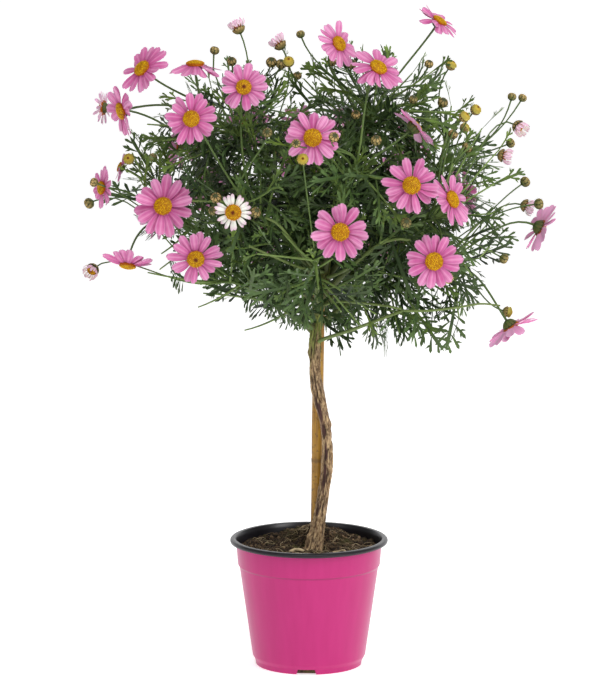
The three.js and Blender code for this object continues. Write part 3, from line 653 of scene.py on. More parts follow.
# Dry root and straw: tan to pale buff, darker where it is still moist.
dry_fibre, tree, shader = new_finish("dry_root_fibre", Roughness=0.8, IOR=1.45)
tone = add_node(tree, "Attribute", {}, attribute_name="tone")
own_place = add_node(tree, "TexCoord", {}).outputs["Object"]
speckle = add_node(tree, "TexNoise", {"Vector": own_place, "Scale": 300.0, "Detail": 4.0})
speckled = add_node(tree, "MapRange", {"Value": speckle, "From Min": 0.45, "From Max": 0.8})
tan = add_node(tree, "Mix", {FACTOR: tone, FIRST: "#54402a", SECOND: "#d8c39a"}, **COLOURS)
flecked = add_node(tree, "Mix", {FACTOR: speckled, FIRST: tan, SECOND: "#3c2b1c"}, **COLOURS)
fleck_bump = add_node(tree, "Bump", {"Height": speckle, "Strength": 0.3, "Distance": 0.0003})
feed(tree, shader, Base_Color=flecked, Normal=fleck_bump)
fibre_form = gather([fine_fibres, *litter])
fibres = add_piece("mix_fibres", fibre_form, dry_fibre, ["potting_mix"], crease=80)
print("fibres and litter:", triangles(fibres), "triangles")

# %% [markdown]
# ## The bamboo cane
# A straight split-proof rod with a low ring at each joint. The rod is a tube with a station every few
# millimetres, and the ring is a narrow bump in its radius with a groove above it.

# %% Cane
CANE_LOW, CANE_HIGH = np.array([6.1, 4.1, 9.0]), np.array([9.4, 4.4, 362.0])
CANE_RADIUS = 5.6
CANE_JOINTS = [0.53, 0.9]
cane_share = np.linspace(0, 1, 200)
cane_line = CANE_LOW + (CANE_HIGH - CANE_LOW) * cane_share[:, None]
cane_radii = CANE_RADIUS + 0.12 * np.sin(cane_share * 23) - 0.2 * cane_share
ringed = np.zeros(len(cane_share))
for joint in CANE_JOINTS:
    ringed += np.exp(-(((cane_share - joint) / 0.004) ** 2))
    cane_radii += 0.3 * np.exp(-(((cane_share - joint) / 0.006) ** 2))
    cane_radii -= 0.2 * np.exp(-(((cane_share - joint - 0.011) / 0.004) ** 2))
cane_form = tubes(cane_line[None], cane_radii[None], 28, joint=ringed[None, :, None])

# Bamboo: a smooth hard skin, straw gold with brown weather streaks that run along it, 2.6 mm wide and
# 45 mm long, dark freckles, and a dark line at each joint. Its skin has a soft shine.
bamboo, tree, shader = new_finish("dried_bamboo", Roughness=0.42, IOR=1.5)
own_place = add_node(tree, "TexCoord", {}).outputs["Object"]
lengthwise = add_node(tree, "Mapping", {"Vector": own_place, "Scale": patches(2.6, 2.6, 45)})
streaks = add_node(tree, "TexNoise", {"Vector": lengthwise, "Scale": 1.0, "Detail": 5.0, "Roughness": 0.65})
streak_share = add_node(tree, "MapRange", {"Value": streaks, "From Min": 0.38, "From Max": 0.66})
gold = add_node(tree, "Mix", {FACTOR: streak_share, FIRST: "#cb982a", SECOND: "#875712"}, **COLOURS)
weather = add_node(tree, "TexNoise", {"Vector": own_place, "Scale": 45.0, "Detail": 3.0})
weathered = add_node(tree, "MapRange", {"Value": weather, "From Min": 0.5, "From Max": 0.7, "To Max": 0.6})
stained = add_node(tree, "Mix", {FACTOR: weathered, FIRST: gold, SECOND: "#966a1c"}, **COLOURS)
freckles = add_node(tree, "TexNoise", {"Vector": own_place, "Scale": 300.0, "Detail": 4.0})
freckly = {"Value": freckles, "From Min": 0.58, "From Max": 0.7, "To Max": 0.7}
freckle_share = add_node(tree, "MapRange", freckly)
freckled = add_node(tree, "Mix", {FACTOR: freckle_share, FIRST: stained, SECOND: "#4d3519"}, **COLOURS)
joint_mark = add_node(tree, "Attribute", {}, attribute_name="joint")
jointed = add_node(tree, "Mix", {FACTOR: joint_mark, FIRST: freckled, SECOND: "#6d5026"}, **COLOURS)
streak_bump = add_node(tree, "Bump", {"Height": streaks, "Strength": 0.2, "Distance": 0.0003})
feed(tree, shader, Base_Color=jointed, Normal=streak_bump)
cane = add_piece("bamboo_cane", cane_form, bamboo, ["cane"], crease=50)
print("cane:", triangles(cane), "triangles")

# %% [markdown]
# ## The woody stem
# An old marguerite stem is knotty: it leans out, comes back, and is fluted by the strands of wood
# under its bark. The line is the CAD's, rounded by a curve through the same points. The bark is
# worked out on the skin: where a rough value stretched along the stem passes through zero there is a
# long crack, and a few flat scars mark where shoots were cut off.

# %% The stem's line
# Middle of the stem at each height, with its radius, as in the CAD part.
STEM_ROWS = np.array([
    [2, -12, 38, 3.5],
    [3, -12, 72, 6.2],
    [3.5, -12.5, 104, 8.2],
    [5, -12, 114, 7.6],
    [8, -10.2, 128, 6.8],
    [11.5, -8.6, 150, 5.3],
    [15, -8.4, 172, 5.1],
    [17.4, -8.4, 197, 5.3],
    [16.8, -8.4, 222, 5],
    [14, -8.6, 240, 5.1],
    [8.5, -9.2, 262, 5.7],
    [5.6, -9, 285, 5.1],
    [5.4, -9, 310, 5.5],
    [7, -8.6, 332, 5.2],
    [10, -8.2, 356, 5],
    [14, -7.2, 376, 5.6],
    [17, -6, 392, 4.2],
])
STEM_STATIONS = 300
STEM_SIDES = 44

station = np.linspace(0, len(STEM_ROWS) - 1, STEM_STATIONS)
stem_curve = through(STEM_ROWS, station)
stem_height = stem_curve[:, 2:3]
stem_around = 2 * np.pi * np.arange(STEM_SIDES) / STEM_SIDES

# %% Bark worked out on the skin
# Scars: height, half their height, and which way they face in radians round the stem.
SCARS = [(248, 13, 2.9), (227, 8, 3.0), (206, 9, 3.15), (184, 15, 3.1)]
SCARS += [(150, 7, 2.4), (232, 7, 5.4), (200, 10, 0.6)]
# Knots: height, size and the way they face. The second is the stub of a shoot that was cut off.
KNOTS = [(233, 1.5, 4.6), (302, 1.9, 2.0), (270, 1.3, 3.4), (331, 1.6, 5.0)]
KNOTS += [(374, 2.0, 3.6), (168, 1.0, 1.2), (122, 1.8, 2.2)]

# The skin as if unrolled and rolled up again on a 12 mm column, shortened six times along the stem,
# so that what is round there is long and narrow on the stem.
COLUMN_RADIUS, SHORTENED, WINDING = 12, 6, 0.004  # mm, times, and radians per mm
winding = stem_around + WINDING * stem_height
column = [COLUMN_RADIUS * np.cos(winding), COLUMN_RADIUS * np.sin(winding), stem_height / SHORTENED]
rolled = np.stack(np.broadcast_arrays(*column), axis=-1)
strand = waves(rolled, 9, 21)
cracks = np.exp(-((waves(rolled, 5.5, 22) / 0.2) ** 2))
fine_cracks = np.exp(-((waves(rolled * [1, 1, 2.2], 2.6, 23) / 0.3) ** 2))


def spot(height, half, facing_turn, width):
    """How far each point of the skin is from a spot, squared: 1 at its edge, which lies `half` above
    and below it and `width` radians to each side."""
    off = np.angle(np.exp(1j * (stem_around - facing_turn)))
    return ((stem_height - height) / half) ** 2 + (off / width) ** 2


SCAR_WIDTH, KNOT_HALF, KNOT_WIDTH = 0.42, 4.2, 0.5
ragged = 0.35 * waves(rolled, 3, 24)
scar = np.zeros_like(strand)
for height, half, facing_turn in SCARS:
    reach = spot(height, half, facing_turn, SCAR_WIDTH)
    scar = np.maximum(scar, 1 - smooth_step(reach + ragged, 0.6, 1.1))
knotted = np.zeros_like(strand)
for height, size, facing_turn in KNOTS:
    knotted += size * np.exp(-spot(height, KNOT_HALF, facing_turn, KNOT_WIDTH))

root_flare = 1 - smooth_step(stem_height, 112, 132)
fluting = 1 + (0.07 + 0.07 * root_flare) * np.cos(2 * stem_around + 0.8 * station[:, None])
relief = 0.75 * strand - 0.85 * cracks - 0.4 * fine_cracks - 0.5 * scar + knotted
calm = smooth_step(stem_height, 366, 390)  # young wood near the top is smoother
rippled = fluting + relief * (1 - 0.75 * calm) / stem_curve[:, 3:4]
dark = np.clip(0.85 * cracks + 0.45 * fine_cracks, 0, 1)
bark_form = tubes(
    stem_curve[None, :, :3],
    stem_curve[None, :, 3],
    STEM_SIDES,
    rippled[None],
    crack=dark[None],
    scar=scar[None],
    green=(smooth_step(stem_height + 14 * strand, 286, 322))[None],
)
deepest, proudest = relief.min().round(2), relief.max().round(2)
print("stem skin:", len(bark_form["points"]), "points, relief", deepest, "to", proudest, "mm")

# %% Bark
# Bark of an old soft shrub: grey-tan cork ridges with dark brown cracks, dull. Towards the crown the
# cork is thin and the green wood shows through.
bark, tree, shader = new_finish("marguerite_bark", Roughness=0.88, IOR=1.45)
own_place = add_node(tree, "TexCoord", {}).outputs["Object"]
grain_place = add_node(tree, "Mapping", {"Vector": own_place, "Scale": patches(1.6, 1.6, 7)})
cork = add_node(tree, "TexNoise", {"Vector": grain_place, "Scale": 1.0, "Detail": 6.0, "Roughness": 0.7})
cork_share = add_node(tree, "MapRange", {"Value": cork, "From Min": 0.4, "From Max": 0.6})
ridge = add_node(tree, "Mix", {FACTOR: cork_share, FIRST: "#66472b", SECOND: "#e0c092"}, **COLOURS)
blotches = add_node(tree, "TexNoise", {"Vector": own_place, "Scale": 75.0, "Detail": 3.0})
blotchy = add_node(tree, "MapRange", {"Value": blotches, "From Min": 0.45, "From Max": 0.7, "To Max": 0.55})
blotched = add_node(tree, "Mix", {FACTOR: blotchy, FIRST: ridge, SECOND: "#94796a"}, **COLOURS)
green_mark = add_node(tree, "Attribute", {}, attribute_name="green")
green_share = add_node(tree, "Math", {0: green_mark, 1: 0.8}, operation="MULTIPLY")
greenish = add_node(tree, "Mix", {FACTOR: green_share, FIRST: blotched, SECOND: "#748a34"}, **COLOURS)
scar_mark = add_node(tree, "Attribute", {}, attribute_name="scar")
scarred = add_node(tree, "Mix", {FACTOR: scar_mark, FIRST: greenish, SECOND: "#4f3330"}, **COLOURS)
crack_mark = add_node(tree, "Attribute", {}, attribute_name="crack")
cracked = add_node(tree, "Mix", {FACTOR: crack_mark, FIRST: scarred, SECOND: "#33221a"}, **COLOURS)
cork_bump = add_node(tree, "Bump", {"Height": cork, "Strength": 0.9, "Distance": 0.0008})
feed(tree, shader, Base_Color=cracked, Normal=cork_bump)
stem = add_piece("bark_stem", bark_form, bark, ["woody_stem"], crease=80)
print("stem:", triangles(stem), "triangles")

# %% [markdown]
# ## The plan of the crown
# Sixteen green branches leave the stem at rising heights, each a golden turn (137.5 degrees) further
# round than the last, as most plants place theirs, and end under the skin of a round crown. Flower and
# bud stalks spring from them. The curves repeat the CAD part's rules. Which branch carries which stalk
# was settled in CAD by room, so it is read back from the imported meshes: of all the stalks that could
# be, the right one is the one whose corners are there.

# %% Curves
GOLDEN_TURN = math.radians(137.508)
BRANCHES = 16
FIRST_TURN = 1.4
# The crown's middle and half sizes, how steeply the lowest and the highest branch point, and the
# heights where they leave the stem.
CROWN_MIDDLE, CROWN_REACH = np.array([5, 0, 428]), (134, 124, 100)
LOWEST_UP, HIGHEST_UP = -0.66, 0.97
LOWEST_ROOT, HIGHEST_ROOT = 318, 389
# The way to the cane, how far from that way a branch has to leave, and the height above which it may
# leave in any way. Ways are in radians.
CANE_WAY, CANE_ROOM, CANE_PASSED = 1.35, 1.25, 374


def bezier(control, t):
    """A cubic Bezier curve: its four points weighed by (1-t)^3, 3(1-t)^2 t, 3(1-t) t^2 and t^3."""
    t = np.asarray(t, float)[:, None]
    a, b, c, d = control
    return (1 - t) ** 3 * a + 3 * (1 - t) ** 2 * t * b + 3 * (1 - t) * t**2 * c + t**3 * d


def along_curve(control, shares):
    """Points and directions at shares of the curve's length, which is measured in 200 chords."""
    fine = np.linspace(0, 1, 201)
    chords = np.linalg.norm(np.diff(bezier(control, fine), axis=0), axis=1)
    measured = np.concatenate([[0], np.cumsum(chords)])
    t = np.interp(np.asarray(shares, float) * measured[-1], measured, fine)
    a, b, c, d = control
    s = t[:, None]
    heading = (1 - s) ** 2 * (b - a) + 2 * (1 - s) * s * (c - b) + s**2 * (d - c)
    return bezier(control, t), unit(heading), measured[-1]


def facing(turn, tilt):
    """A turn from +X and a tilt above level, in degrees, as a direction."""
    t, e = np.radians(turn), np.radians(tilt)
    return np.stack([np.cos(e) * np.cos(t), np.cos(e) * np.sin(t), np.sin(e)], axis=-1)


def branch_control(index):
    """The four points of one branch's curve: it leaves the stem at its own height, rises the more the
    higher it is, goes round the cane, and ends a little turned up at its place in the crown."""
    share = (index + 0.5) / BRANCHES
    turn = FIRST_TURN + index * GOLDEN_TURN
    up = LOWEST_UP + (HIGHEST_UP - LOWEST_UP) * share
    level = math.sqrt(1 - up * up)
    wide, deep, high = CROWN_REACH
    spread = np.array([wide * level * math.cos(turn), deep * level * math.sin(turn), high * up])
    tip = CROWN_MIDDLE + spread
    height = LOWEST_ROOT + (HIGHEST_ROOT - LOWEST_ROOT) * share
    root = np.array([np.interp(height, STEM_ROWS[:, 2], STEM_ROWS[:, k]) for k in range(3)])
    length = np.linalg.norm(tip - root)
    rise = 0.35 + share
    off = math.atan2(math.sin(turn - CANE_WAY), math.cos(turn - CANE_WAY))
    aside = min(off, -CANE_ROOM) if off < 0 else max(off, CANE_ROOM)
    away = CANE_WAY + aside if height < CANE_PASSED else turn
    leave = np.array([math.cos(away) * math.cos(rise), math.sin(away) * math.cos(rise), math.sin(rise)])
    arrive = unit(unit(spread) + [0, 0, 0.25])
    return np.array([root, root + 0.35 * length * leave, tip - 0.3 * length * arrive, tip])


branch_curves = [branch_control(index) for index in range(BRANCHES)]
tip_heights = [float(control[3][2]) for control in branch_curves]
print("branches end between", round(min(tip_heights)), "and", round(max(tip_heights)), "mm up")

# %% Flower heads and buds
# Each head: where its middle is, which way it faces (turn and tilt in degrees), and its radius.
FLOWERS = np.array([
    [-153.5, -78, 579, -137, 38, 26],
    [-174, -50, 536.5, -155, -12, 26],
    [-192.5, 2, 533, 160, 0, 17],
    [-105, -70, 582, -90, 88, 27],
    [-107.5, -120, 538, -97, 10, 25],
    [-60, -105, 565, -85, 20, 23],
    [3, -150, 524.5, -90, 15, 27],
    [27, -70, 601, -43, 29, 24],
    [63, -95, 582, -52, 47, 27],
    [121, -20, 616.5, -20, 55, 23],
    [97, -95, 528, 20, 40, 24],
    [93, -140, 479.5, -88, 15, 27],
    [131, -105, 461.5, -35, 22, 27],
    [28, -165, 440.5, -93, 5, 27],
    [114, -130, 408, -80, 10, 27],
    [-134, -110, 456, -98, 20, 30],
    [-69, -155, 457, -95, 0, 17.5],
    [-104, -125, 409.5, -85, -10, 26],
    [-169, -50, 392, -110, -68, 25],
    [-192, -60, 466, -150, 5, 20],
    [-176, -22, 480, 170, 20, 15],
    [216, -30, 424, 15, -30, 27],
    [188, -50, 334, 0, -55, 28],
    [-60, 132, 498, 110, 25, 26],
    [40, 142, 492, 80, 20, 27],
    [104, 108, 492, 40, 25, 25],
    [-122, 104, 484, 145, 15, 27],
    [-8, 165, 462, 95, 8, 27],
    [92, 142, 452, 60, 5, 26],
    [-98, 138, 436, 125, 5, 26],
    [148, 96, 440, 30, 10, 26],
    [-146, 92, 418, 150, -5, 25],
    [-8, 114, 504, 85, 40, 24],
    [-52, 150, 384, 110, -15, 26],
    [74, 148, 388, 60, -12, 27],
], float)
# Buds: place, turn and tilt, and then 0 for a closed one, 1 for one that is opening, and 2 for one
# that has pale rays.
CAD_BUDS = np.array([
    [-66, -40, 613, 150, 60, 2], [-87, -70, 595, 0, 75, 0], [-28, -30, 597, 160, 50, 2],
    [-8, -20, 604.5, 120, 60, 0], [-19, -60, 583.5, -90, 45, 1], [-167, -60, 493, -100, 20, 1],
    [-205, -40, 448.5, 180, -30, 0], [-203, -30, 384, -120, -25, 2], [132, -30, 577, -20, 50, 1],
    [189, -20, 546, 60, 60, 0], [200, 4, 542, 30, 55, 0], [195, -40, 520, -40, -30, 2],
    [181, -50, 494.5, -10, -10, 2], [202, -20, 466, 20, 30, 0], [214, -40, 448, 0, 5, 0],
    [181, -60, 399.5, 0, -30, 0], [-6, -172, 508, -90, 15, 1], [150, 110, 500, 30, 30, 1],
    [40, 185, 430, 80, 0, 2],
], float)
# More buds than the CAD part has, all with a place on its branches to grow from.
MORE_BUDS = np.array([
    [154, -60, 539, -40, 40, 1], [204, -20, 443, -10, -20, 2], [186, -40, 346, 0, -10, 1],
    [-35, -40, 580.5, -80, 50, 0], [-26, -45, 579.5, -60, 60, 0], [-38, -150, 529, -95, 25, 0],
    [22, -172, 528, -70, 30, 0], [-199, -70, 472.5, -170, 20, 0], [188, -20, 502.5, 20, 20, 0],
    [143, -80, 535, -30, 40, 1], [127, -120, 391, -70, -10, 1], [88, -140, 445, -80, 30, 0],
    [-49, -150, 456, -60, 40, 0], [-85, -140, 468, -100, 40, 0], [133, -60, 516, -30, 50, 0],
    [146, -60, 503.5, -20, 50, 0], [61, -120, 518, -80, 60, 0], [96, -60, 548, -60, 60, 0],
    [-88, -140, 456, -110, 30, 0], [21, -40, 581, -80, 60, 0], [39, -40, 579, -70, 50, 0],
    [111, -40, 579, -60, 60, 0], [124, -40, 543, -60, 50, 0], [43, -60, 534, -80, 50, 0],
    [-72, -20, 579, -100, 50, 0], [-11, -40, 568, -90, 60, 0], [-12, -178, 523, -90, 20, 0],
    [-150, 120, 470, 140, 20, 0], [-30, 150, 470, 95, 40, 1], [70, 120, 520, 60, 50, 0],
    [-95, 110, 520, 120, 45, 0], [120, 130, 410, 50, 0, 0], [130, 115, 470, 30, 25, 0],
    [-40, 175, 430, 100, 5, 2], [-130, 110, 440, 150, 10, 0],
], float)
print(len(FLOWERS), "heads and", len(CAD_BUDS) + len(MORE_BUDS), "buds")

# %% Which branch carries which stalk
STALK_PLACES = [0.5, 0.6, 0.7, 0.8, 0.9, 0.98]
STALK_RADIUS = 1.25
branch_names = [f"leafy_branch_{index + 1:02d}" for index in range(BRANCHES)]


def node_corners(name):
    """The corners of a CAD node's mesh, in millimetres."""
    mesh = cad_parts[name].data
    flat = np.empty(len(mesh.vertices) * 3)
    mesh.vertices.foreach_get("co", flat)
    return flat.reshape(-1, 3) / MM


branch_corners = [node_corners(name) for name in branch_names]
starts = []
for index, control in enumerate(branch_curves):
    for point, heading in zip(*along_curve(control, STALK_PLACES)[:2]):
        starts.append((index, point, heading))


def stalk_control(row, start, backset):
    """The four points of a stalk: it leaves its branch along it, and comes to its head from behind."""
    _, root, heading = start
    face = facing(row[3], row[4])
    end = row[:3] - face * backset
    length = np.linalg.norm(end - root)
    return np.array([root, root + heading * 0.4 * length, end - face * 0.4 * length, end])


def misfit(row, start, backset, radius, sides):
    """How far the CAD mesh is from having this stalk: the ring at its middle has `sides` corners, all
    one radius from the line, and this is the largest error of the nearest ones, in millimetres."""
    middle = along_curve(stalk_control(row, start, backset), [0.5])[0][0]
    reach = np.sort(np.linalg.norm(branch_corners[start[0]] - middle, axis=1))[:sides]
    return np.abs(reach - radius).max()


def found_start(row, backset, radius, sides):
    """The start whose stalk the CAD mesh has, with its misfit."""
    misfits = [misfit(row, start, backset, radius, sides) for start in starts]
    best = int(np.argmin(misfits))
    return best, misfits[best]


def near_start(row):
    """For a bud that the CAD part doesn't have: the start with the shortest, straightest way."""
    costs = []
    for _, root, heading in starts:
        gap = row[:3] - root
        length = np.linalg.norm(gap)
        bend = 1 - gap @ heading / length
        costs.append(length * (1 + bend) + 4 * max(0, 40 - length))
    return int(np.argmin(costs))


FLOWER_BACKSET = 1.35
flower_found = [found_start(row, FLOWER_BACKSET, STALK_RADIUS, 4) for row in FLOWERS]
bud_found = [found_start(row, 0, 0.9 * STALK_RADIUS, 3) for row in CAD_BUDS]
flower_starts = [starts[best] for best, _ in flower_found]
bud_starts = [starts[best] for best, _ in bud_found] + [starts[near_start(row)] for row in MORE_BUDS]
BUDS = np.concatenate([CAD_BUDS, MORE_BUDS])
worst = max(error for _, error in flower_found + bud_found)
print("stalks read back from the frame; the largest misfit is", round(worst, 3), "mm")

# %% Which way each spray of leaves goes
SPRAY = {"length": 88, "shortest": 0.84, "arch": 14, "places": [0.44, 0.72, 0.98]}
SPRAY_TURNS = [0, 0.7, -0.7, 1.4, -1.4, 2.1, -2.1, 2.8]
SPRAY_LEANS = [0.8, 1.1, 0.5]


def draws(seed, count):
    """The CAD part's seeded draws from 0 to 1 (the mulberry32 rule), in whole numbers of 32 bits."""
    full = 0xFFFFFFFF
    state, values = seed, []
    for _ in range(count):
        state = (state + 0x6D2B79F5) & full
        t = ((state ^ (state >> 15)) * (1 | state)) & full
        t = ((t + (((t ^ (t >> 7)) * (61 | t)) & full)) & full) ^ t
        values.append(((t ^ (t >> 14)) & full) / 2**32)
    return values


def leaning_axes(along, side, other, angle, lean):
    """Axes of a leaf on a line: out at this angle round the line, then leaned between the line and
    that way. Rows: across it, along it, and out of its upper face, which looks towards the tip."""
    out = side * np.cos(angle)[..., None] + other * np.sin(angle)[..., None]
    lean = np.asarray(lean)[..., None]
    reach = along * np.cos(lean) + out * np.sin(lean)
    upper = along * np.sin(lean) - out * np.cos(lean)
    return np.stack([np.cross(reach, upper), reach, upper], axis=-2)


def across_line(heading):
    """Two directions across a line that starts with this heading, as the CAD part takes them."""
    side = unit(FIRST_ACROSS - heading * (heading @ FIRST_ACROSS))
    return side, np.cross(heading, side)


spray_ribs, spray_branches, spray_misfits = [], [], []
for index, control in enumerate(branch_curves):
    feet, headings, _ = along_curve(control, SPRAY["places"])
    drawn = draws(index + 1, len(SPRAY["places"]))
    for place, (foot, heading, draw) in enumerate(zip(feet, headings, drawn)):
        length = SPRAY["length"] * (SPRAY["shortest"] + (1 - SPRAY["shortest"]) * draw)
        side, other = across_line(heading)
        angles = np.array([place * GOLDEN_TURN + index + turn for turn in SPRAY_TURNS for _ in SPRAY_LEANS])
        leans = np.array([lean for _ in SPRAY_TURNS for lean in SPRAY_LEANS])
        ways = leaning_axes(heading, side, other, angles, leans)
        tips = foot + np.array([0, length, -SPRAY["arch"] + 0.4]) @ ways
        gaps = np.linalg.norm(branch_corners[index] - tips[:, None], axis=-1).min(axis=1)
        chosen = ways[int(np.argmin(gaps))]
        reach = np.linspace(0, 0.84, 7)[:, None]
        rib = np.concatenate([0 * reach, reach * length, -SPRAY["arch"] * reach**2], axis=1)
        spray_ribs.append(foot + rib @ chosen)
        spray_branches.append(index)
        spray_misfits.append(gaps.min())
print(len(spray_ribs), "sprays read back; the largest misfit is", round(max(spray_misfits), 3), "mm")

# %% [markdown]
# ## Leaves
# A marguerite leaf is cut nearly to its midrib into pairs of narrow lobes, and the larger lobes have a
# tooth. The midrib and each lobe is a slim blade with three sides, flat above and keeled below. The
# leaves stand on their shoots a golden turn apart, the old ones wide open and the young ones upright.


# %% Blades and the leaf templates
def blades(lines, widths, upper, lift, **marks):
    """Closed slim blades: lines (n, k, 3) run from a point to a point, and each inner station has a
    right edge, a keel below and a left edge. Widths are from edge to edge."""
    along, _, _ = frames_along(lines)
    across = unit(np.cross(along, upper))
    inner, half = lines[:, 1:-1], np.broadcast_to(widths, lines[:, 1:-1].shape[:2])[..., None] / 2
    right, left = inner + across[:, 1:-1] * half, inner - across[:, 1:-1] * half
    keel = inner - unit(np.cross(across, along))[:, 1:-1] * half * lift
    made = skins(np.stack([right, keel, left], axis=2), lines[:, 0], lines[:, -1], **marks)
    rings = lines.shape[1] - 2
    side_under = np.tile([1, 1, 0], rings + 1)
    made["under"] = np.tile(side_under, len(lines))
    return made


# A lobe to the right, and its mirror image to the left, which sits further up by this share of the
# leaf's length. A lobe curves towards the leaf's tip by a share of its own length.
LOBE_HANDS = ((1, 0.0), (-1, 0.045))
LOBE_BEND = 0.16


def leaf_template(length, rib_width, lobes, teeth, arch, fold):
    """A leaf along +Y with its upper face to +Z. Each lobe is (start along the rib as a share, length
    as a share, angle in degrees, width in mm); its mirror image is on the other side, a little
    higher up. It is narrow at its foot and widest near its blunt end. Each tooth is a lobe's four
    numbers, its place along the lobe as a share, and the side of the lobe it is on, 1 for the one
    towards the leaf's foot. A point at (x, y) lies at z = fold |x| - arch (y / length)^2."""

    def seat(points):
        lifted = np.array(points, float)
        lifted[..., 2] += fold * np.abs(lifted[..., 0]) - arch * (lifted[..., 1] / length) ** 2
        return lifted

    reach = np.array([0, 0.04, 0.45, 0.85, 1.0]) * length
    rib = np.stack([0 * reach, reach, 0 * reach], axis=-1)
    parts = [blades(seat(rib)[None], np.array([[0.55, 0.8, 1.0]]) * rib_width, [0, 0, 1.0], 0.45)]
    lines, widths = [], []
    for start, size, angle, width in lobes:
        for hand, slip in LOBE_HANDS:
            turn = math.radians(angle)
            way = np.array([hand * math.sin(turn), math.cos(turn), 0])
            bend = np.array([0, LOBE_BEND * size * length, 0])
            foot = np.array([0, (start + slip) * length, 0])
            steps = np.array([0, 0.4, 0.85, 1.0])[:, None]
            lines.append(foot + way * size * length * steps + bend * steps**2)
            widths.append([0.6 * width, width])
    parts.append(blades(seat(np.array(lines)), np.array(widths), [0, 0, 1.0], 0.35))
    lines, widths = [], []
    for start, size, angle, width, share, side in teeth:
        for hand, slip in LOBE_HANDS:
            turn = math.radians(angle)
            way = np.array([hand * math.sin(turn), math.cos(turn), 0])
            foot = np.array([0, (start + slip) * length, 0]) + way * size * length * share
            foot = foot + np.array([0, LOBE_BEND * size * length * share**2, 0])
            out = np.array([hand * math.sin(turn + side * 0.7), math.cos(turn + side * 0.7), 0])
            lines.append(foot + out * width * 2.1 * np.array([0, 0.4, 1.0])[:, None])
            widths.append([width * 0.66])
    parts.append(blades(seat(np.array(lines)), np.array(widths), [0, 0, 1.0], 0.35))
    leaf = gather(parts)
    leaf["marks"]["reach"] = np.clip(leaf["points"][:, 1] / length, 0, 1)
    leaf["marks"]["edge"] = np.clip(np.abs(leaf["points"][:, 0]) / (0.4 * length), 0, 1)
    return leaf


LEAF_LENGTH = 56.0
old_leaf = leaf_template(
    LEAF_LENGTH,
    3.9,
    [(0.3, 0.25, 64, 2.8), (0.44, 0.35, 54, 3.3), (0.62, 0.31, 44, 3.3), (0.8, 0.18, 32, 2.9)],
    [(0.44, 0.35, 54, 3.3, 0.6, -1), (0.44, 0.35, 54, 3.3, 0.5, 1), (0.62, 0.31, 44, 3.3, 0.55, 1)],
    9,
    0.14,
)
slim_leaf = leaf_template(
    LEAF_LENGTH,
    3.6,
    [(0.4, 0.27, 50, 2.9), (0.57, 0.31, 42, 3.3), (0.76, 0.21, 31, 3.0)],
    [(0.57, 0.31, 42, 3.3, 0.6, -1), (0.57, 0.31, 42, 3.3, 0.5, 1)],
    12,
    0.26,
)
YOUNG_TEETH = [(0.44, 0.3, 36, 2.6, 0.55, 1)]
young_leaf = leaf_template(32.0, 3.0, [(0.44, 0.3, 36, 2.6), (0.68, 0.24, 28, 2.4)], YOUNG_TEETH, 3, 0.3)
for name, leaf in (("old", old_leaf), ("slim", slim_leaf), ("young", young_leaf)):
    print(name, "leaf:", len(leaf["faces"]), "faces")

# %% Shoots: the lines that carry leaves
BRANCH_STEPS = 21
SIDE_SHOOTS = 8
wood_lines = np.array([along_curve(control, np.linspace(0, 1, BRANCH_STEPS))[0] for control in branch_curves])


def side_shoots(index):
    """Short curved shoots of one branch: from a place on it, leaned 50 to 70 degrees away, each a
    golden turn further round, and bent up towards the light as the square of the way along."""
    shares = np.linspace(0.3, 0.97, SIDE_SHOOTS)
    feet, headings, _ = along_curve(branch_curves[index], shares)
    lines = []
    for k, (foot, heading) in enumerate(zip(feet, headings)):
        side, other = across_line(heading)
        lean = random.uniform(0.85, 1.25)
        axes = leaning_axes(heading, side, other, np.array(k * GOLDEN_TURN + index * 2.1), lean)
        length = random.uniform(38, 56)
        steps = np.linspace(0, 1, 7)[:, None]
        lines.append(foot + axes[1] * length * steps + np.array([0, 0, 0.16 * length]) * steps**2)
    return lines


# Where longer shoots end.
LONG_SHOOTS = [
    # Above the crown.
    [-128, -30, 532], [-110, -40, 544], [-90, -30, 552], [-75, -60, 546], [-60, -20, 560],
    [-45, -60, 554], [-30, -70, 548], [-22, 0, 568], [-5, -30, 564], [14, -45, 570],
    [22, 10, 566], [36, -60, 560], [50, -20, 570], [66, 10, 568], [80, -50, 574],
    [96, -20, 568], [116, -45, 574],
    # At the right, and at the left.
    [122, -40, 548], [135, -50, 536], [160, -50, 520], [176, -50, 500], [185, -50, 476],
    [170, -60, 442], [158, -60, 400], [-150, -50, 524], [-164, -55, 498], [-158, -60, 476],
    [-136, -60, 510],
    # Hanging below.
    [48, -70, 338], [84, -60, 330], [112, -70, 336], [140, -50, 342], [62, -90, 352],
    [-62, -70, 366], [-22, -60, 344],
    # Where the crown would be thin.
    [-122, -30, 507], [-114, -70, 494], [-132, -30, 492], [-18, -40, 532], [-32, -50, 529],
    [-8, 10, 545], [-120, 20, 502], [-135, 0, 486], [-106, -10, 502], [-142, -20, 474],
    [-124, 40, 484], [100, -30, 546], [118, -60, 530], [130, -20, 516], [141, -50, 500],
    [110, 0, 520], [152, -30, 484], [133, -70, 490], [120, 10, 498], [104, -55, 512],
    [88, -20, 534],
]


def long_shoot(tip):
    """A shoot to this tip from the branch place with the shortest, straightest way, and that branch."""
    owner, root, heading = starts[near_start(np.array(tip, float))]
    gap = tip - root
    length = np.linalg.norm(gap)
    return owner, bezier([root, root + heading * 0.3 * length, tip - gap * 0.3, tip], np.linspace(0, 1, 7))


shoot_lines, shoot_branch = list(spray_ribs), list(spray_branches)
for index in range(BRANCHES):
    made = side_shoots(index)
    shoot_lines += made
    shoot_branch += [index] * len(made)
for owner, line in map(long_shoot, LONG_SHOOTS):
    shoot_lines.append(line)
    shoot_branch.append(owner)
shoot_lines, shoot_branch = np.array(shoot_lines), np.array(shoot_branch)

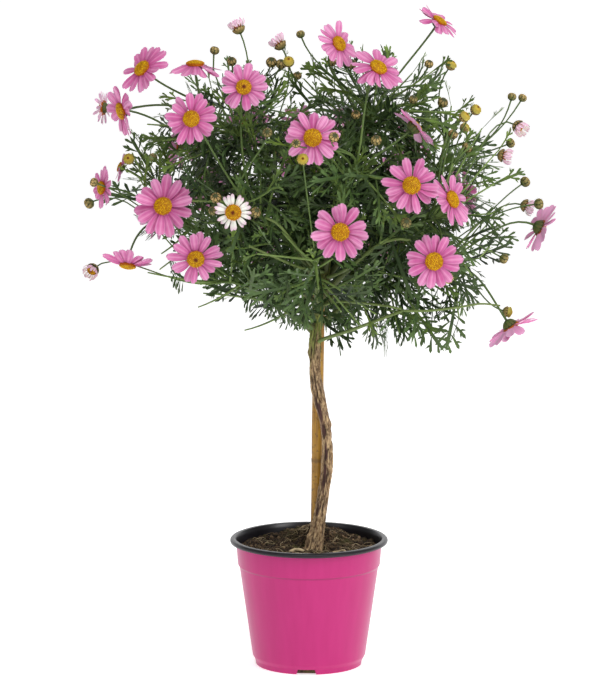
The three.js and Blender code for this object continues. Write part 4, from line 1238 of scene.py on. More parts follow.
# The boughs that show in front of the leaves: each has its radius at foot and tip, and points along it.
BOUGHS = [
    (
        1.9,
        1.1,
        [[15, -7, 374], [22, -20, 377], [38, -55, 391], [63, -80, 415], [80, -95, 423], [93, -100, 423]],
    ),
    (1.5, 1.0, [[15, -7, 378], [3, -60, 391], [-7, -75, 393], [-31, -95, 406], [-56, -100, 418]]),
    (1.8, 1.2, [[15, -7, 382], [8, -25, 382], [-10, -75, 410], [-27, -98, 436], [-40, -100, 444]]),
    (2.0, 1.3, [[6, -9, 308], [12, -14, 315], [43, -45, 331], [73, -70, 347], [87, -75, 353]]),
    (1.3, 0.8, [[87, -75, 353], [110, -75, 353], [136, -70, 355], [159, -60, 357], [178, -52, 354]]),
    (1.4, 1.0, [[9, -8, 346], [20, -25, 352], [33, -60, 359], [67, -80, 359], [85, -82, 356]]),
]
BOUGH_STEPS = 26


def bough_line(rows):
    """A smooth line through the points of one bough."""
    return through(np.array(rows, float), np.linspace(0, len(rows) - 1, BOUGH_STEPS))


bough_lines = np.array([bough_line(rows) for _, _, rows in BOUGHS])
print(len(shoot_lines), "shoots and", len(bough_lines), "boughs in front")

# %% Places of the leaves
LEAVES_A_SHOOT = 6


def leaves_on(lines, count, first, last, wide, narrow):
    """Feet, axes and age of the leaves on each line: `count` of them from share `first` to `last`,
    a golden turn apart, leaned from `wide` radians for the oldest to `narrow` for the youngest."""
    along, side, other = frames_along(lines)
    number, steps = lines.shape[:2]
    shares = np.linspace(first, last, count)
    at = shares * (steps - 1)
    low = np.minimum(at.astype(int), steps - 2)
    part = (at - low)[:, None]
    feet = lines[:, low] * (1 - part) + lines[:, low + 1] * part
    angles = GOLDEN_TURN * np.arange(count) + random.uniform(0, 2 * np.pi, number)[:, None]
    angles = angles + random.normal(0, 0.25, angles.shape)
    age = 1 - np.broadcast_to(np.arange(count) / (count - 1), angles.shape)
    lean = narrow + (wide - narrow) * age**0.8 + random.normal(0, 0.13, age.shape)
    axes = leaning_axes(along[:, low], side[:, low], other[:, low], angles, lean)
    return feet, axes, age


def drooped(axes, amount):
    """The leaves' axes with the way along each tipped towards the ground by this amount."""
    reach = unit(axes[..., 1, :] + np.array([0, 0, -1.0]) * amount[..., None])
    across = unit(np.cross(reach, axes[..., 2, :]))
    return np.stack([across, reach, np.cross(across, reach)], axis=-2)


DROOP_BELOW, DROOP_SPAN = 430, 110  # from this height down leaves droop more, over this many mm


def leaf_table(lines, owners, count, first, last, wide, narrow):
    """All the leaves of these lines as flat tables: owner, foot, axes, age. A leaf droops more the
    older it is and the lower it stands in the crown."""
    feet, axes, age = leaves_on(lines, count, first, last, wide, narrow)
    low_in_crown = np.clip((DROOP_BELOW - feet[..., 2]) / DROOP_SPAN, 0, 1)
    axes = drooped(axes, 0.05 + 0.25 * age + 0.4 * low_in_crown)
    owner = np.repeat(owners, count)
    return owner, feet.reshape(-1, 3), axes.reshape(-1, 3, 3), age.ravel()


tables = [
    leaf_table(shoot_lines, shoot_branch, LEAVES_A_SHOOT, 0.08, 0.99, 1.3, 0.3),
    leaf_table(wood_lines, np.arange(BRANCHES), 14, 0.3, 0.99, 1.25, 0.35),
]
leaf_owner, leaf_feet, leaf_axes, leaf_age = (np.concatenate(parts) for parts in zip(*tables))
leaf_size = random.normal(1, 0.1, len(leaf_owner)).clip(0.75, 1.25) * (0.68 + 0.34 * np.sqrt(leaf_age))

# %% Room for the flower heads, the buds and the stem
reaches = np.array([0.25, 0.5, 0.75, 1.0])
ribs = leaf_axes[:, None, 1] * (reaches * LEAF_LENGTH)[:, None] * leaf_size[:, None, None]
probes = leaf_feet[:, None] + ribs
probes = probes - leaf_axes[:, None, 2] * (8 * reaches**2)[:, None]
hit = np.zeros(len(leaf_owner), bool)


def in_room(row, radius, behind, before):
    """Which leaves reach into the round room of a head or bud: within `radius` of its axis, and from
    `behind` its middle to `before` it, all in millimetres."""
    gap = probes - row[:3]
    height = gap @ facing(row[3], row[4])
    away = np.linalg.norm(gap - height[..., None] * facing(row[3], row[4]), axis=-1)
    return ((away < radius) & (height > -behind) & (height < before)).any(axis=1)


for row in FLOWERS:
    hit |= in_room(row, row[5] + 1, 5, 45)
for row in BUDS:
    hit |= in_room(row, 7, 6, 25)

# The stem stays bare up to its room's top, and no leaf is nearer to the line of a bough that shows.
STEM_ROOM, STEM_ROOM_TOP, BOUGH_ROOM = 22, 318, 5
LOWEST_LEAF = 288
# The crown's lower edge as the viewer sees it, from left to right: higher on the left. The view is from
# a little above, so what is 1 mm nearer to the viewer looks this many millimetres lower.
NEARER_IS_LOWER = 0.174
stem_room = (np.hypot(probes[..., 0] - 6, probes[..., 1]) < STEM_ROOM) & (probes[..., 2] < STEM_ROOM_TOP)
EDGE_X = [-190, -164, -126, -79, -46, -8, 24, 144, 166, 190, 215]
EDGE_Z = [452, 412, 369, 352, 341, 318, 300, 298, 340, 400, 440]
seen_height = probes[..., 2] + NEARER_IS_LOWER * probes[..., 1]
below = seen_height < np.interp(probes[..., 0], EDGE_X, EDGE_Z)
hit |= stem_room.any(axis=1) | (probes[..., 2] < LOWEST_LEAF).any(axis=1) | below.any(axis=1)
for line in bough_lines:
    seen_line = line[:, 2] + NEARER_IS_LOWER * line[:, 1]
    aside = np.hypot(probes[..., None, 0] - line[:, 0], seen_height[..., None] - seen_line)
    in_front = probes[..., None, 1] < line[:, 1] + 3
    hit |= ((aside < BOUGH_ROOM) & in_front).any(axis=(1, 2))
kept = ~hit
leaf_owner, leaf_feet, leaf_axes = leaf_owner[kept], leaf_feet[kept], leaf_axes[kept]
leaf_age, leaf_size = leaf_age[kept], leaf_size[kept]
leaf_kind = np.where(leaf_age < 0.3, 2, random.integers(0, 2, len(leaf_age)))
print(len(leaf_owner), "leaves,", int(hit.sum()), "left out where a head, bud or the stem needs the room")

# %% [markdown]
# The colour of a leaf goes from a deep blue-green when old to a yellow-green when young, is paler on
# the underside and lighter towards the tip, and each leaf has a tone of its own.


# %% Leaf and shoot finishes
# Living leaf: matt, with a soft wax sheen on the upper side.
leaf_finish, tree, shader = new_finish("marguerite_leaf", Roughness=0.5, Specular_IOR_Level=0.28)
tone = add_node(tree, "Attribute", {}, attribute_name="tone")
toned = add_node(tree, "Mix", {FACTOR: tone, FIRST: "#0b1606", SECOND: "#678747"}, **COLOURS)
young = add_node(tree, "Attribute", {}, attribute_name="young")
aged = add_node(tree, "Mix", {FACTOR: young, FIRST: toned, SECOND: "#7f9a36"}, **COLOURS)
own_place = add_node(tree, "TexCoord", {}).outputs["Object"]
cloudy = add_node(tree, "TexNoise", {"Vector": own_place, "Scale": 110.0, "Detail": 2.0})
shade = add_node(tree, "MapRange", {"Value": cloudy, "From Min": 0.42, "From Max": 0.62, "To Max": 0.5})
clouded = add_node(tree, "Mix", {FACTOR: shade, FIRST: aged, SECOND: "#172c1b"}, **COLOURS)
reach = add_node(tree, "Attribute", {}, attribute_name="reach")
tip = add_node(tree, "MapRange", {"Value": reach, "From Min": 0.5, "From Max": 1.0, "To Max": 0.25})
tipped = add_node(tree, "Mix", {FACTOR: tip, FIRST: clouded, SECOND: "#7d9a5c"}, **COLOURS)
underside = add_node(tree, "Attribute", {}, attribute_name="under")
back = add_node(tree, "MapRange", {"Value": underside, "To Max": 0.3})
both = add_node(tree, "Mix", {FACTOR: back, FIRST: tipped, SECOND: "#465c3c"}, **COLOURS)
feed(tree, shader, Base_Color=both)

# Green shoots and stalks: smooth, and a little lighter than the leaves.
green_finish, tree, shader = new_finish("green_shoot", Roughness=0.5, Specular_IOR_Level=0.3)
tone = add_node(tree, "Attribute", {}, attribute_name="tone")
stalk_green = add_node(tree, "Mix", {FACTOR: tone, FIRST: "#41572b", SECOND: "#8fa95a"}, **COLOURS)
wood_share = add_node(tree, "Attribute", {}, attribute_name="wood")
woody = add_node(tree, "Mix", {FACTOR: wood_share, FIRST: stalk_green, SECOND: "#67683f"}, **COLOURS)
own_place = add_node(tree, "TexCoord", {}).outputs["Object"]
mottle = add_node(tree, "TexNoise", {"Vector": own_place, "Scale": 200.0, "Detail": 2.0})
mottling = add_node(tree, "MapRange", {"Value": mottle, "From Min": 0.4, "From Max": 0.65, "To Max": 0.35})
mottled = add_node(tree, "Mix", {FACTOR: mottling, FIRST: woody, SECOND: "#45592c"}, **COLOURS)
feed(tree, shader, Base_Color=mottled)
print("leaf and shoot finishes")

# %% Leaves as pieces, one for each branch
leaf_count = 0
for index, name in enumerate(branch_names):
    parts = []
    for kind, template in enumerate((old_leaf, slim_leaf, young_leaf)):
        own = (leaf_owner == index) & (leaf_kind == kind)
        scale = (leaf_size[own] * (1.25 if kind == 2 else 1.0))[:, None, None]
        number = int(own.sum())
        tone = random.beta(1.2, 2.4, number)
        young = np.clip(1.1 - 2.4 * leaf_age[own], 0, 0.85) * random.uniform(0.4, 1, number)
        parts.append(copies(template, leaf_axes[own] * scale, leaf_feet[own], tone=tone, young=young))
    piece = add_piece(f"leaves_{index + 1:02d}", gather(parts), leaf_finish, [name], crease=70)
    leaf_count += triangles(piece)
print("leaves:", leaf_count, "triangles")

# %% [markdown]
# ## Branches, shoots and stalks
# Green wood and stalks are round tubes along the curves. A flower stalk carries its head from behind,
# so its last part runs straight along the way that the head faces.

# %% Tubes of each branch
STALK_STEPS = 15
FLOWER_STALK, BUD_STALK = 1.0, 0.72
FLOWER_STOP, BUD_STOP = 4.6, 3.5  # how far before its curve's end a stalk stops, inside the cup


def stalk_line(row, start, backset, stop):
    """Points along a stalk, and up to `stop` millimetres before its curve's end."""
    control = stalk_control(row, start, backset)
    length = along_curve(control, [1])[2]
    return along_curve(control, np.linspace(0, 1 - stop / length, STALK_STEPS))[0]


flower_stalks = np.array(
    [stalk_line(row, start, FLOWER_BACKSET, FLOWER_STOP) for row, start in zip(FLOWERS, flower_starts)]
)
bud_stalks = np.array([stalk_line(row, start, 0, BUD_STOP) for row, start in zip(BUDS, bud_starts)])
flower_branch = np.array([start[0] for start in flower_starts])
bud_branch = np.array([start[0] for start in bud_starts])
wood_radius = np.linspace(2.9, 1.5, BRANCH_STEPS)
wood_mark = np.clip(1 - np.linspace(0, 1.8, BRANCH_STEPS), 0, 1)[:, None]
shoot_count = 0
for index, name in enumerate(branch_names):
    own_shoots = shoot_lines[shoot_branch == index]
    own_flowers, own_buds = flower_stalks[flower_branch == index], bud_stalks[bud_branch == index]
    parts = [
        tubes(wood_lines[index : index + 1], wood_radius, 9, wood=wood_mark, tone=0.3),
        tubes(own_shoots, np.linspace(1.3, 0.7, own_shoots.shape[1]), 6, wood=0, tone=0.6),
    ]
    for lines, radius in ((own_flowers, FLOWER_STALK), (own_buds, BUD_STALK)):
        if len(lines):
            swell = radius * (1 + 0.5 * np.linspace(-1, 1, STALK_STEPS).clip(0.7) - 0.35)
            tone = np.broadcast_to(np.linspace(0.5, 0.1, STALK_STEPS)[:, None], (len(lines), STALK_STEPS, 6))
            parts.append(tubes(lines, swell, 6, wood=0, tone=tone))
    piece = add_piece(f"green_shoots_{index + 1:02d}", gather(parts), green_finish, [name], crease=80)
    shoot_count += triangles(piece)
radii = np.array([np.linspace(thick, thin, BOUGH_STEPS) for thick, thin, _ in BOUGHS])
boughs = tubes(bough_lines, radii, 10, wood=0.35, tone=0.6)
shoot_count += triangles(add_piece("boughs_in_front", boughs, green_finish, crease=80))
print("green wood, shoots and stalks:", shoot_count, "triangles")

# %% [markdown]
# ## Flower heads
# A head is a green cup of scales, two layers of rays, and a domed disc of small florets. The
# florets lie on a golden spiral: number k of n sits at radius R sqrt((k + 1/2) / n), a golden turn
# from the one before, which fills the disc evenly. The outer ones open first.


# %% Axes of a head and the cup behind it
def head_axes(face):
    """Three axes of a head, as rows: level across it, up across it, and the way it faces."""
    across = unit(np.cross([0, 0, 1.0], face))
    return np.stack([across, np.cross(face, across), face])


def round_axes(count, tips, swing):
    """Axes of `count` copies round +Z, each turned on by its `swing` in steps: the Y axis points
    outward and is tipped up by `tips` radians."""
    turns = 2 * np.pi * (np.arange(count) + swing) / count
    outward = np.stack([np.cos(turns), np.sin(turns), 0 * turns], axis=-1)
    tips = np.broadcast_to(tips, count)[:, None]
    up = np.array([0, 0, 1.0])
    reach = outward * np.cos(tips) + up * np.sin(tips)
    upper = up * np.cos(tips) - outward * np.sin(tips)
    return np.stack([np.cross(reach, upper), reach, upper], axis=1), outward


def scale_rows(profile, rows):
    """Scales over a lathed body: each row is (how many, first and last share of the profile's length,
    width, swing). Each scale is a slim blade that lies on the body and stands off a little at its tip."""
    profile = np.asarray(profile, float)
    lengths = np.concatenate([[0], np.cumsum(np.linalg.norm(np.diff(profile, axis=0), axis=1))])
    lines, widths = [], []
    for count, first, last, width, swing in rows:
        steps = np.linspace(first, last, 4) * lengths[-1]
        radius, height = (np.interp(steps, lengths, profile[:, k]) for k in (0, 1))
        radius = radius + np.array([-0.3, 0.25, 0.45, 0.5])
        turns = 2 * np.pi * (np.arange(count) + swing) / count
        out = np.stack([np.cos(turns), np.sin(turns)], axis=-1)[:, None] * radius[:, None]
        lines.append(np.concatenate([out, np.broadcast_to(height[:, None], (count, 4, 1))], axis=-1))
        widths.append(np.tile([width, width * 0.8], (count, 1)))
    return np.concatenate(lines), np.concatenate(widths)


CUP = [[0, -7.4], [1.5, -7.3], [3.4, -6.4], [5.3, -4.5], [6.5, -2.6], [7.0, -1.0], [0, -0.9]]
CUP_ROWS = [(8, 0.12, 0.42, 2.9, 0.0), (11, 0.2, 0.55, 2.8, 0.5), (13, 0.3, 0.68, 2.6, 0.25)]
BUD_BALL = [[0, -4.6], [1.6, -4.4], [3.4, -3.2], [4.5, -1.0], [4.5, 1.0], [3.7, 2.8], [2.0, 3.9], [0, 4.2]]
BUD_ROWS = [(7, 0.1, 0.45, 3.0, 0.0), (8, 0.3, 0.68, 3.0, 0.5), (8, 0.5, 0.9, 2.8, 0.2)]


SCALY_SIDES = 14


def scaly(profile, rows):
    """A lathed body with its scales, about +Z at the origin."""
    lines, widths = scale_rows(profile, rows)
    outward = lines[:, 1] * [1, 1, 0]
    made = []
    for line, width, upper in zip(lines, widths, outward):
        made.append(blades(line[None], width[None], upper, 0.5, scale=1.0))
        made[-1]["marks"]["reach"] = np.array([0, 0.2, 0.2, 0.2, 0.7, 0.7, 0.7, 1.0])
    body = turned(profile, SCALY_SIDES)
    body["marks"] = {"scale": np.zeros(len(body["points"])), "reach": np.full(len(body["points"]), 0.3)}
    whole = gather([body, *made])
    low, high = profile[0][1], profile[-1][1]
    whole["marks"]["up"] = np.clip((whole["points"][:, 2] - low) / (high - low), 0, 1)
    whole["under"][:] = 0
    return whole


def placed(form, axes, place, **marks):
    """A form turned to these axes and set down at a place, with more marks."""
    return copies(form, np.asarray(axes)[None], np.asarray(place, float)[None], **marks)


cup_form, ball_form = scaly(CUP, CUP_ROWS), scaly(BUD_BALL, BUD_ROWS)
print("cup:", len(cup_form["faces"]), "faces; closed bud:", len(ball_form["faces"]), "faces")


# %% Rays
def ray_template(rise, droop, groove, cup):
    """A ray on a grid of u across (-1 to 1) and t along (0 to 1), at x = u w(t), y = t and
    z = rise y - droop y^2 + groove f(u) - cup x^2, where f dips to -1 in the two furrows, at u = -0.5
    and 0.5. Its width w is largest at t = 0.6 and its tip is round. The back is the same grid a
    little lower, and shares the outline."""
    u = np.array([-1, -0.5, 0, 0.5, 1.0])
    t = np.array([0, 0.14, 0.34, 0.55, 0.75, 0.91, 1.0])
    width = np.array([0.34, 0.53, 0.82, 0.99, 0.98, 0.74, 0.3])
    tip = np.array([0.08, 0.01, 0.03, 0.01, 0.08]) * (t[:, None] > 0.95)
    x = u * width[:, None]
    y = np.broadcast_to(t[:, None], x.shape) - tip
    furrow = np.array([0, -1, 0.35, -1, 0]) * np.sin(np.pi * np.minimum(t / 0.95, 1))[:, None] ** 0.5
    z = rise * y - droop * y**2 + groove * furrow - cup * x**2
    front = np.stack([x, y, z], axis=-1)
    rows, columns = x.shape
    number = np.arange(rows * columns).reshape(rows, columns)
    back_number = number.copy()
    back_number[1:-1, 1:-1] = rows * columns + np.arange((rows - 2) * (columns - 2)).reshape(rows - 2, -1)
    back = front[1:-1, 1:-1].reshape(-1, 3) - [0, 0, 0.02]

    def cells(n, order):
        corners = [n[:-1, :-1], n[:-1, 1:], n[1:, 1:], n[1:, :-1]]
        return np.stack([corners[k] for k in order], axis=-1).reshape(-1, 4)

    faces = np.concatenate([cells(number, (0, 1, 2, 3)), cells(back_number, (3, 2, 1, 0))])
    under = np.repeat([0, 1], len(faces) // 2)
    points = np.concatenate([front.reshape(-1, 3), back])
    across = np.broadcast_to(u, x.shape)
    across = np.concatenate([across.ravel(), across[1:-1, 1:-1].ravel()])
    reach = np.broadcast_to(t[:, None], x.shape)
    reach = np.concatenate([reach.ravel(), reach[1:-1, 1:-1].ravel()])
    return shape(points, faces, under, across=across, reach=reach)


ray_forms = [
    ray_template(0.10, 0.16, 0.022, 0.05),
    ray_template(0.16, 0.36, 0.026, 0.09),
    ray_template(0.02, -0.04, 0.024, 0.02),
]
closing_ray = ray_template(-0.05, -0.36, 0.02, 0.12)


def ray_ring(count, base, length, width, tips, tone, young, forms):
    """Rays round +Z with their roots at radius `base`, in two layers: every second one is 0.5 mm lower,
    tipped less and drawn darker as painted shade from the layer above. Each is turned, twisted and sized a
    little unevenly, from a seeded draw."""
    lower = np.arange(count) % 2
    swing = random.uniform(0, 1) + random.normal(0, 0.14, count)
    axes, outward = round_axes(count, tips - 0.07 * lower + random.normal(0, 0.09, count), swing)
    twist = random.normal(0, 0.25, count)[:, None]
    across = axes[:, 0] * np.cos(twist) + axes[:, 2] * np.sin(twist)
    upper = np.cross(across, axes[:, 1])
    sizes = random.normal(1, 0.065, count)[:, None]
    scaled = np.stack([across * width / 2, axes[:, 1] * length * sizes, upper * length], axis=1)
    roots = outward * base - np.array([0, 0, 0.5]) * lower[:, None]
    # Painted shade: rays of the lower layer are drawn darker, as shaded by the layer above.
    tones = np.clip(tone - 0.25 * lower + random.normal(0, 0.18, count), 0, 1)
    kinds = np.where(random.uniform(0, 1, count) < 0.6, 0, random.integers(0, len(forms), count))
    parts = []
    for kind in np.unique(kinds):
        own = kinds == kind
        parts.append(copies(forms[kind], scaled[own], roots[own], tone=tones[own], young=young))
    return gather(parts)


DISC_RIM = 0.9  # height of the disc's rim over the head's middle


def disc_form(radius, count, heart, fresh=0.0, doming=0.36):
    """A domed disc of florets about +Z: dome height (1 - (r / R)^2) plus a lower rim. The dome's
    height is a share `doming` of its radius."""
    height = doming * radius
    steps = np.linspace(1, 0, 6)
    dome = [[radius * s, DISC_RIM + height * (1 - s**2)] for s in steps[:-1]]
    profile = [[0, -0.8], [radius * 0.97, -0.7], *dome, [0, DISC_RIM + height]]
    body = turned(profile, 20)
    distance = np.hypot(body["points"][:, 0], body["points"][:, 1]) / radius
    body["marks"] = {"ring": distance, "reach": np.zeros(len(distance)), "tone": np.full(len(distance), 0.2)}
    k = np.arange(count)
    ring = np.sqrt((k + 0.5) / count)
    turns = k * GOLDEN_TURN
    out = np.stack([np.cos(turns), np.sin(turns), 0 * turns], axis=-1)
    slope = 2 * height * ring / radius
    way = unit(out * slope[:, None] + [0, 0, 1.0])
    above = np.array([0, 0, 1.0]) * (DISC_RIM + height * (1 - ring**2))[:, None]
    feet = out * (ring * radius * 0.98)[:, None] + above
    grown = np.clip((ring - 0.55) / 0.2, 0, 1)
    tall = 0.55 + 0.65 * grown + random.normal(0, 0.06, count)
    wide = radius * math.sqrt(math.pi / count) * (0.44 + 0.08 * grown)
    lines = feet[:, None] + way[:, None] * (tall[:, None] * np.array([-0.5, 0.6]))[..., None]
    florets = tubes(lines, np.stack([0.8 * wide, wide], axis=1), 5)
    florets["marks"] = {
        "ring": np.repeat(ring, 12),
        "reach": np.tile(np.concatenate([[0], np.zeros(5), np.ones(5), [1]]), count),
        "tone": np.repeat(random.uniform(0, 1, count), 12),
    }
    whole = gather([body, florets])
    whole["marks"]["heart"] = np.full(len(whole["points"]), heart)
    whole["marks"]["fresh"] = np.full(len(whole["points"]), fresh)
    return whole


print("ray:", len(ray_forms[0]["faces"]), "faces")

# %% Finish of the rays
# Ray of a daisy: soft and matt, with two furrows and fine veins from root to tip, deeper pink at the root,
# partly its own colour and partly painted shade, and paler on the back, partly its own colour and partly
# painted light that shines through. The furrows and the edges carry painted shade, and the bulges between the
# furrows, and partly the tip, carry painted highlights. Light comes through it a little.
ray_finish, tree, shader = new_finish(
    "pink_ray", Roughness=0.6, Specular_IOR_Level=0.2, Subsurface_Weight=0.3
)
tone = add_node(tree, "Attribute", {}, attribute_name="tone")
toned = add_node(tree, "Mix", {FACTOR: tone, FIRST: "#c56297", SECOND: "#e49cc2"}, **COLOURS)
side = add_node(tree, "Attribute", {}, attribute_name="across")
from_middle = add_node(tree, "Math", {0: side}, operation="ABSOLUTE")
past_furrow = add_node(tree, "Math", {0: from_middle, 1: 0.5}, operation="SUBTRACT")
from_furrow = add_node(tree, "Math", {0: past_furrow}, operation="ABSOLUTE")
# Painted shade: the two furrows are drawn darker, where shade falls in them.
furrow = add_node(tree, "MapRange", {"Value": from_furrow, "From Max": 0.22, "To Min": 0.6, "To Max": 0})
furrow_shaded = add_node(tree, "Mix", {FACTOR: furrow, FIRST: toned, SECOND: "#bb4c8c"}, **COLOURS)
vein_turn = add_node(tree, "Math", {0: side, 1: 21.0}, operation="MULTIPLY")
vein_wave = add_node(tree, "Math", {0: vein_turn}, operation="SINE")
vein = add_node(tree, "MapRange", {"Value": vein_wave, "From Min": 0.1, "From Max": 1.0, "To Max": 0.45})
veined = add_node(tree, "Mix", {FACTOR: vein, FIRST: furrow_shaded, SECOND: "#c25795"}, **COLOURS)
# Painted highlight: the bulges between the furrows are drawn lighter.
bulge_highlight = add_node(tree, "MapRange", {"Value": from_furrow, "From Min": 0.3, "From Max": 0.5, "To Max": 0.3})
bulge_highlighted = add_node(tree, "Mix", {FACTOR: bulge_highlight, FIRST: veined, SECOND: "#f2bcdc"}, **COLOURS)
# Painted shade: the edges are drawn darker, where the rays overlap and shade one another.
edge = add_node(tree, "MapRange", {"Value": from_middle, "From Min": 0.8, "From Max": 1.0, "To Max": 0.75})
edged = add_node(tree, "Mix", {FACTOR: edge, FIRST: bulge_highlighted, SECOND: "#a03c79"}, **COLOURS)
reach = add_node(tree, "Attribute", {}, attribute_name="reach")
# The root is deeper pink: partly its own colour, partly painted shade near the disc.
root = add_node(tree, "MapRange", {"Value": reach, "From Max": 0.45, "To Min": 0.9, "To Max": 0})
root_deepened_and_shaded = add_node(tree, "Mix", {FACTOR: root, FIRST: edged, SECOND: "#a93a7b"}, **COLOURS)
# The tip is paler: partly its own colour, partly a painted highlight.
tip = add_node(tree, "MapRange", {"Value": reach, "From Min": 0.6, "From Max": 1.0, "To Max": 0.3})
tipped = add_node(tree, "Mix", {FACTOR: tip, FIRST: root_deepened_and_shaded, SECOND: "#f0bddb"}, **COLOURS)
young = add_node(tree, "Attribute", {}, attribute_name="young")
blush = add_node(tree, "MapRange", {"Value": reach, "From Min": 0.55, "From Max": 0.95, "To Max": 0.75})
pale = add_node(tree, "Mix", {FACTOR: blush, FIRST: "#f8f1ea", SECOND: "#dfa3c6"}, **COLOURS)
aged = add_node(tree, "Mix", {FACTOR: young, FIRST: tipped, SECOND: pale}, **COLOURS)
# The back is paler: partly its own colour, partly painted light that shines through it.
underside = add_node(tree, "Attribute", {}, attribute_name="under")
back = add_node(tree, "MapRange", {"Value": underside, "To Max": 0.75})
both = add_node(tree, "Mix", {FACTOR: back, FIRST: aged, SECOND: "#ebb4d5"}, **COLOURS)
shader.inputs["Subsurface Radius"].default_value = (1.0, 0.5, 0.7)
shader.inputs["Subsurface Scale"].default_value = 0.002
feed(tree, shader, Base_Color=both)

# %% Finishes of the disc and the scales
# Disc florets: waxy, deep yellow, with painted shade making them darker at their feet between one another,
# red-brown in the middle of a young head.
floret_finish, tree, shader = new_finish("disc_florets", Roughness=0.5, Specular_IOR_Level=0.2)
tone = add_node(tree, "Attribute", {}, attribute_name="tone")
toned = add_node(tree, "Mix", {FACTOR: tone, FIRST: "#b67a02", SECOND: "#f2c60f"}, **COLOURS)
# Painted shade: each floret and the dome under them are darker at the foot, where the florets shade each
# other.
top = add_node(tree, "Attribute", {}, attribute_name="reach")
foot_shaded = add_node(tree, "Mix", {FACTOR: top, FIRST: "#a65a08", SECOND: toned}, **COLOURS)
ring = add_node(tree, "Attribute", {}, attribute_name="ring")
rim = add_node(tree, "MapRange", {"Value": ring, "From Min": 0.74, "From Max": 1.0, "To Max": 0.7})
rimmed = add_node(tree, "Mix", {FACTOR: rim, FIRST: foot_shaded, SECOND: "#b85f0a"}, **COLOURS)
fresh = add_node(tree, "Attribute", {}, attribute_name="fresh")
pale_tone = add_node(tree, "Mix", {FACTOR: ring, FIRST: "#d9b93a", SECOND: "#b9ab52"}, **COLOURS)
freshened = add_node(tree, "Mix", {FACTOR: fresh, FIRST: rimmed, SECOND: pale_tone}, **COLOURS)
near_middle = {"Value": ring, "From Min": 0.14, "From Max": 0.36, "To Min": 1, "To Max": 0}
middle = add_node(tree, "MapRange", near_middle)
heart = add_node(tree, "Attribute", {}, attribute_name="heart")
dark = add_node(tree, "Math", {0: middle, 1: heart}, operation="MULTIPLY")
hearted = add_node(tree, "Mix", {FACTOR: dark, FIRST: freshened, SECOND: "#6a260d"}, **COLOURS)
feed(tree, shader, Base_Color=hearted)

# Bud and cup scales: green to tan, with thin dry brown edges towards the tip.
scale_finish, tree, shader = new_finish("bud_scales", Roughness=0.55, Specular_IOR_Level=0.3)
ripe = add_node(tree, "Attribute", {}, attribute_name="ripe")
up = add_node(tree, "Attribute", {}, attribute_name="up")
ripe_up = add_node(tree, "Math", {0: ripe, 1: up}, operation="MULTIPLY")
ripened = add_node(tree, "Mix", {FACTOR: ripe_up, FIRST: "#4d6130", SECOND: "#dcb877"}, **COLOURS)
reach = add_node(tree, "Attribute", {}, attribute_name="reach")
edge = add_node(tree, "MapRange", {"Value": reach, "From Min": 0.4, "From Max": 1.0, "To Max": 0.7})
edged = add_node(tree, "Mix", {FACTOR: edge, FIRST: ripened, SECOND: "#6b4c2a"}, **COLOURS)
scale = add_node(tree, "Attribute", {}, attribute_name="scale")
between = add_node(tree, "Mix", {FACTOR: scale, FIRST: "#3f4524", SECOND: edged}, **COLOURS)
feed(tree, shader, Base_Color=between)
print("ray, floret and scale finishes")

# %% The heads
# Young heads, with how pale their rays are. They have more and narrower rays round a wider disc.
YOUNG_HEADS = {3: 0.75, 17: 1.0}
YOUNG_RAYS = 19
FLORETS = 150
# The disc's radius as a share of the head's, its largest in mm, and how far in under it rays begin.
DISC_SHARE, YOUNG_DISC_SHARE, LARGEST_DISC, ROOT_SHARE = 0.31, 0.42, 8.4, 0.72
# How far rays reach and where they are widest, as shares of the head's radius. There a ray is this
# much wider than its part of the circle, so full rays overlap and young ones leave gaps.
REACH_SHARE, WIDEST_SHARE, RAY_WIDTH, YOUNG_RAY_WIDTH = 0.96, 0.68, 1.12, 0.95
# Most discs are yellow all over. A young head's disc has a red-brown heart, and so have a few more.
RED_HEARTS = {3: 1.0, 6: 1.0, 12: 0.3, 17: 1.0, 18: 1.0}
# How far the rays of single heads lean forwards, in radians, or back where it is negative.
RAY_LEANS = {3: 0.25, 4: -0.42, 19: -0.42, 22: 0.15, 23: 0.3}
head_count = 0
for number, (x, y, z, turn, tilt, radius) in enumerate(FLOWERS, start=1):
    axes, place = head_axes(facing(turn, tilt)), np.array([x, y, z])
    young = YOUNG_HEADS.get(number, 0.0)
    disc_radius = min(LARGEST_DISC, (YOUNG_DISC_SHARE if young else DISC_SHARE) * radius)
    count = int(round(YOUNG_RAYS if young else random.uniform(12.6, 15.4)))
    ray_root = disc_radius * ROOT_SHARE
    length = REACH_SHARE * radius - ray_root
    width = 2 * math.pi * radius * WIDEST_SHARE / count * (YOUNG_RAY_WIDTH if young else RAY_WIDTH)
    tips = random.uniform(-0.12, 0.16) + RAY_LEANS.get(number, 0.0)
    main = int(random.integers(0, 3))
    forms = ray_forms[main:] + ray_forms[:main]
    ring = ray_ring(count, ray_root, length, width, tips, random.uniform(0.35, 0.75), young, forms)
    heart = RED_HEARTS.get(number, 0.0)
    rays, disc = placed(ring, axes, place), placed(disc_form(disc_radius, FLORETS, heart), axes, place)
    name = f"bloom_{number:02d}"
    for piece in (
        add_piece(f"rays_{number:02d}", rays, ray_finish, [name], crease=60),
        add_piece(f"florets_{number:02d}", disc, floret_finish, [name], crease=60),
    ):
        head_count += triangles(piece)
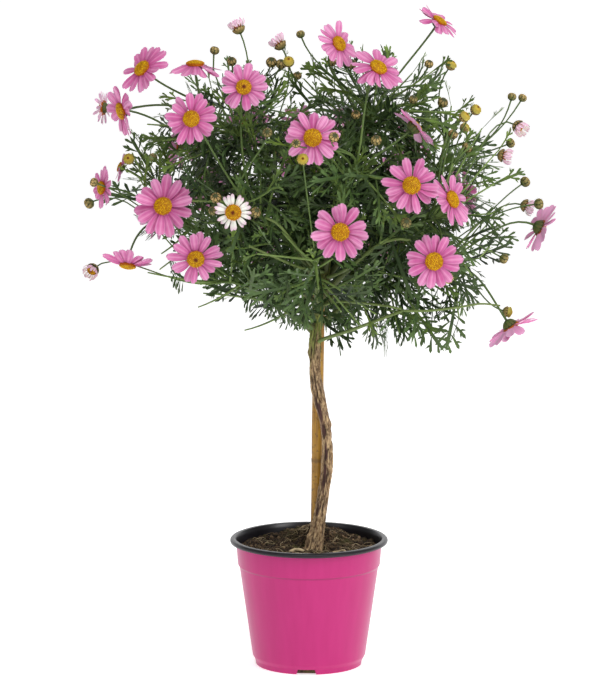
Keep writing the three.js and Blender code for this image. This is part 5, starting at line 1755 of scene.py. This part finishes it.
print("flower heads:", head_count, "triangles")

# %% Cups and buds
# A closed bud is a ball of scales. An opening one shows yellow florets round a dark middle, and the
# next stage has pale rays that still bend inward.
CLOSED, OPENING, RAYED = 0, 1, 2
FULL_HEAD = 24  # from this radius on a head has a full-sized cup
CUP_SIZES = {OPENING: 0.74, RAYED: 0.9}
BUD_DISCS = {
    OPENING: {"radius": 4.8, "count": 60, "heart": 1.0, "fresh": 1.0, "doming": 0.62},
    RAYED: {"radius": 4.4, "count": 60, "heart": 1.0},
}
BUD_RAYS = {"count": 17, "base": 5.2, "length": 7.4, "width": 2.6, "tips": 1.12, "tone": 0.7, "young": 0.9}
bud_total = 0
for index, name in enumerate(branch_names):
    scales, pale_rays, florets = [], [], []
    for row in FLOWERS[flower_branch == index]:
        size = min(1.0, row[5] / FULL_HEAD)
        scales.append(placed(cup_form, head_axes(facing(row[3], row[4])) * size, row[:3], ripe=0.05))
    for row in BUDS[bud_branch == index]:
        axes, kind = head_axes(facing(row[3], row[4])), row[5]
        if kind == CLOSED:
            size, ripe = random.uniform(0.82, 1.05), random.uniform(0.3, 1.0)
            scales.append(placed(ball_form, axes * size, row[:3], ripe=ripe))
            continue
        scales.append(placed(cup_form, axes * CUP_SIZES[kind], row[:3], ripe=0.9))
        florets.append(placed(disc_form(**BUD_DISCS[kind]), axes, row[:3]))
        if kind == RAYED:
            ring = ray_ring(forms=[closing_ray], **BUD_RAYS)
            pale_rays.append(placed(ring, axes, row[:3]))
    number = f"{index + 1:02d}"
    for title, forms, finish, slot, crease in (
        ("bud_scales_", scales, scale_finish, "leaf", 50),
        ("bud_rays_", pale_rays, ray_finish, "petal", 60),
        ("bud_florets_", florets, floret_finish, "petal", 60),
    ):
        if forms:
            bud_total += triangles(add_piece(title + number, gather(forms), finish, [name], crease))
print("cups and buds:", bud_total, "triangles")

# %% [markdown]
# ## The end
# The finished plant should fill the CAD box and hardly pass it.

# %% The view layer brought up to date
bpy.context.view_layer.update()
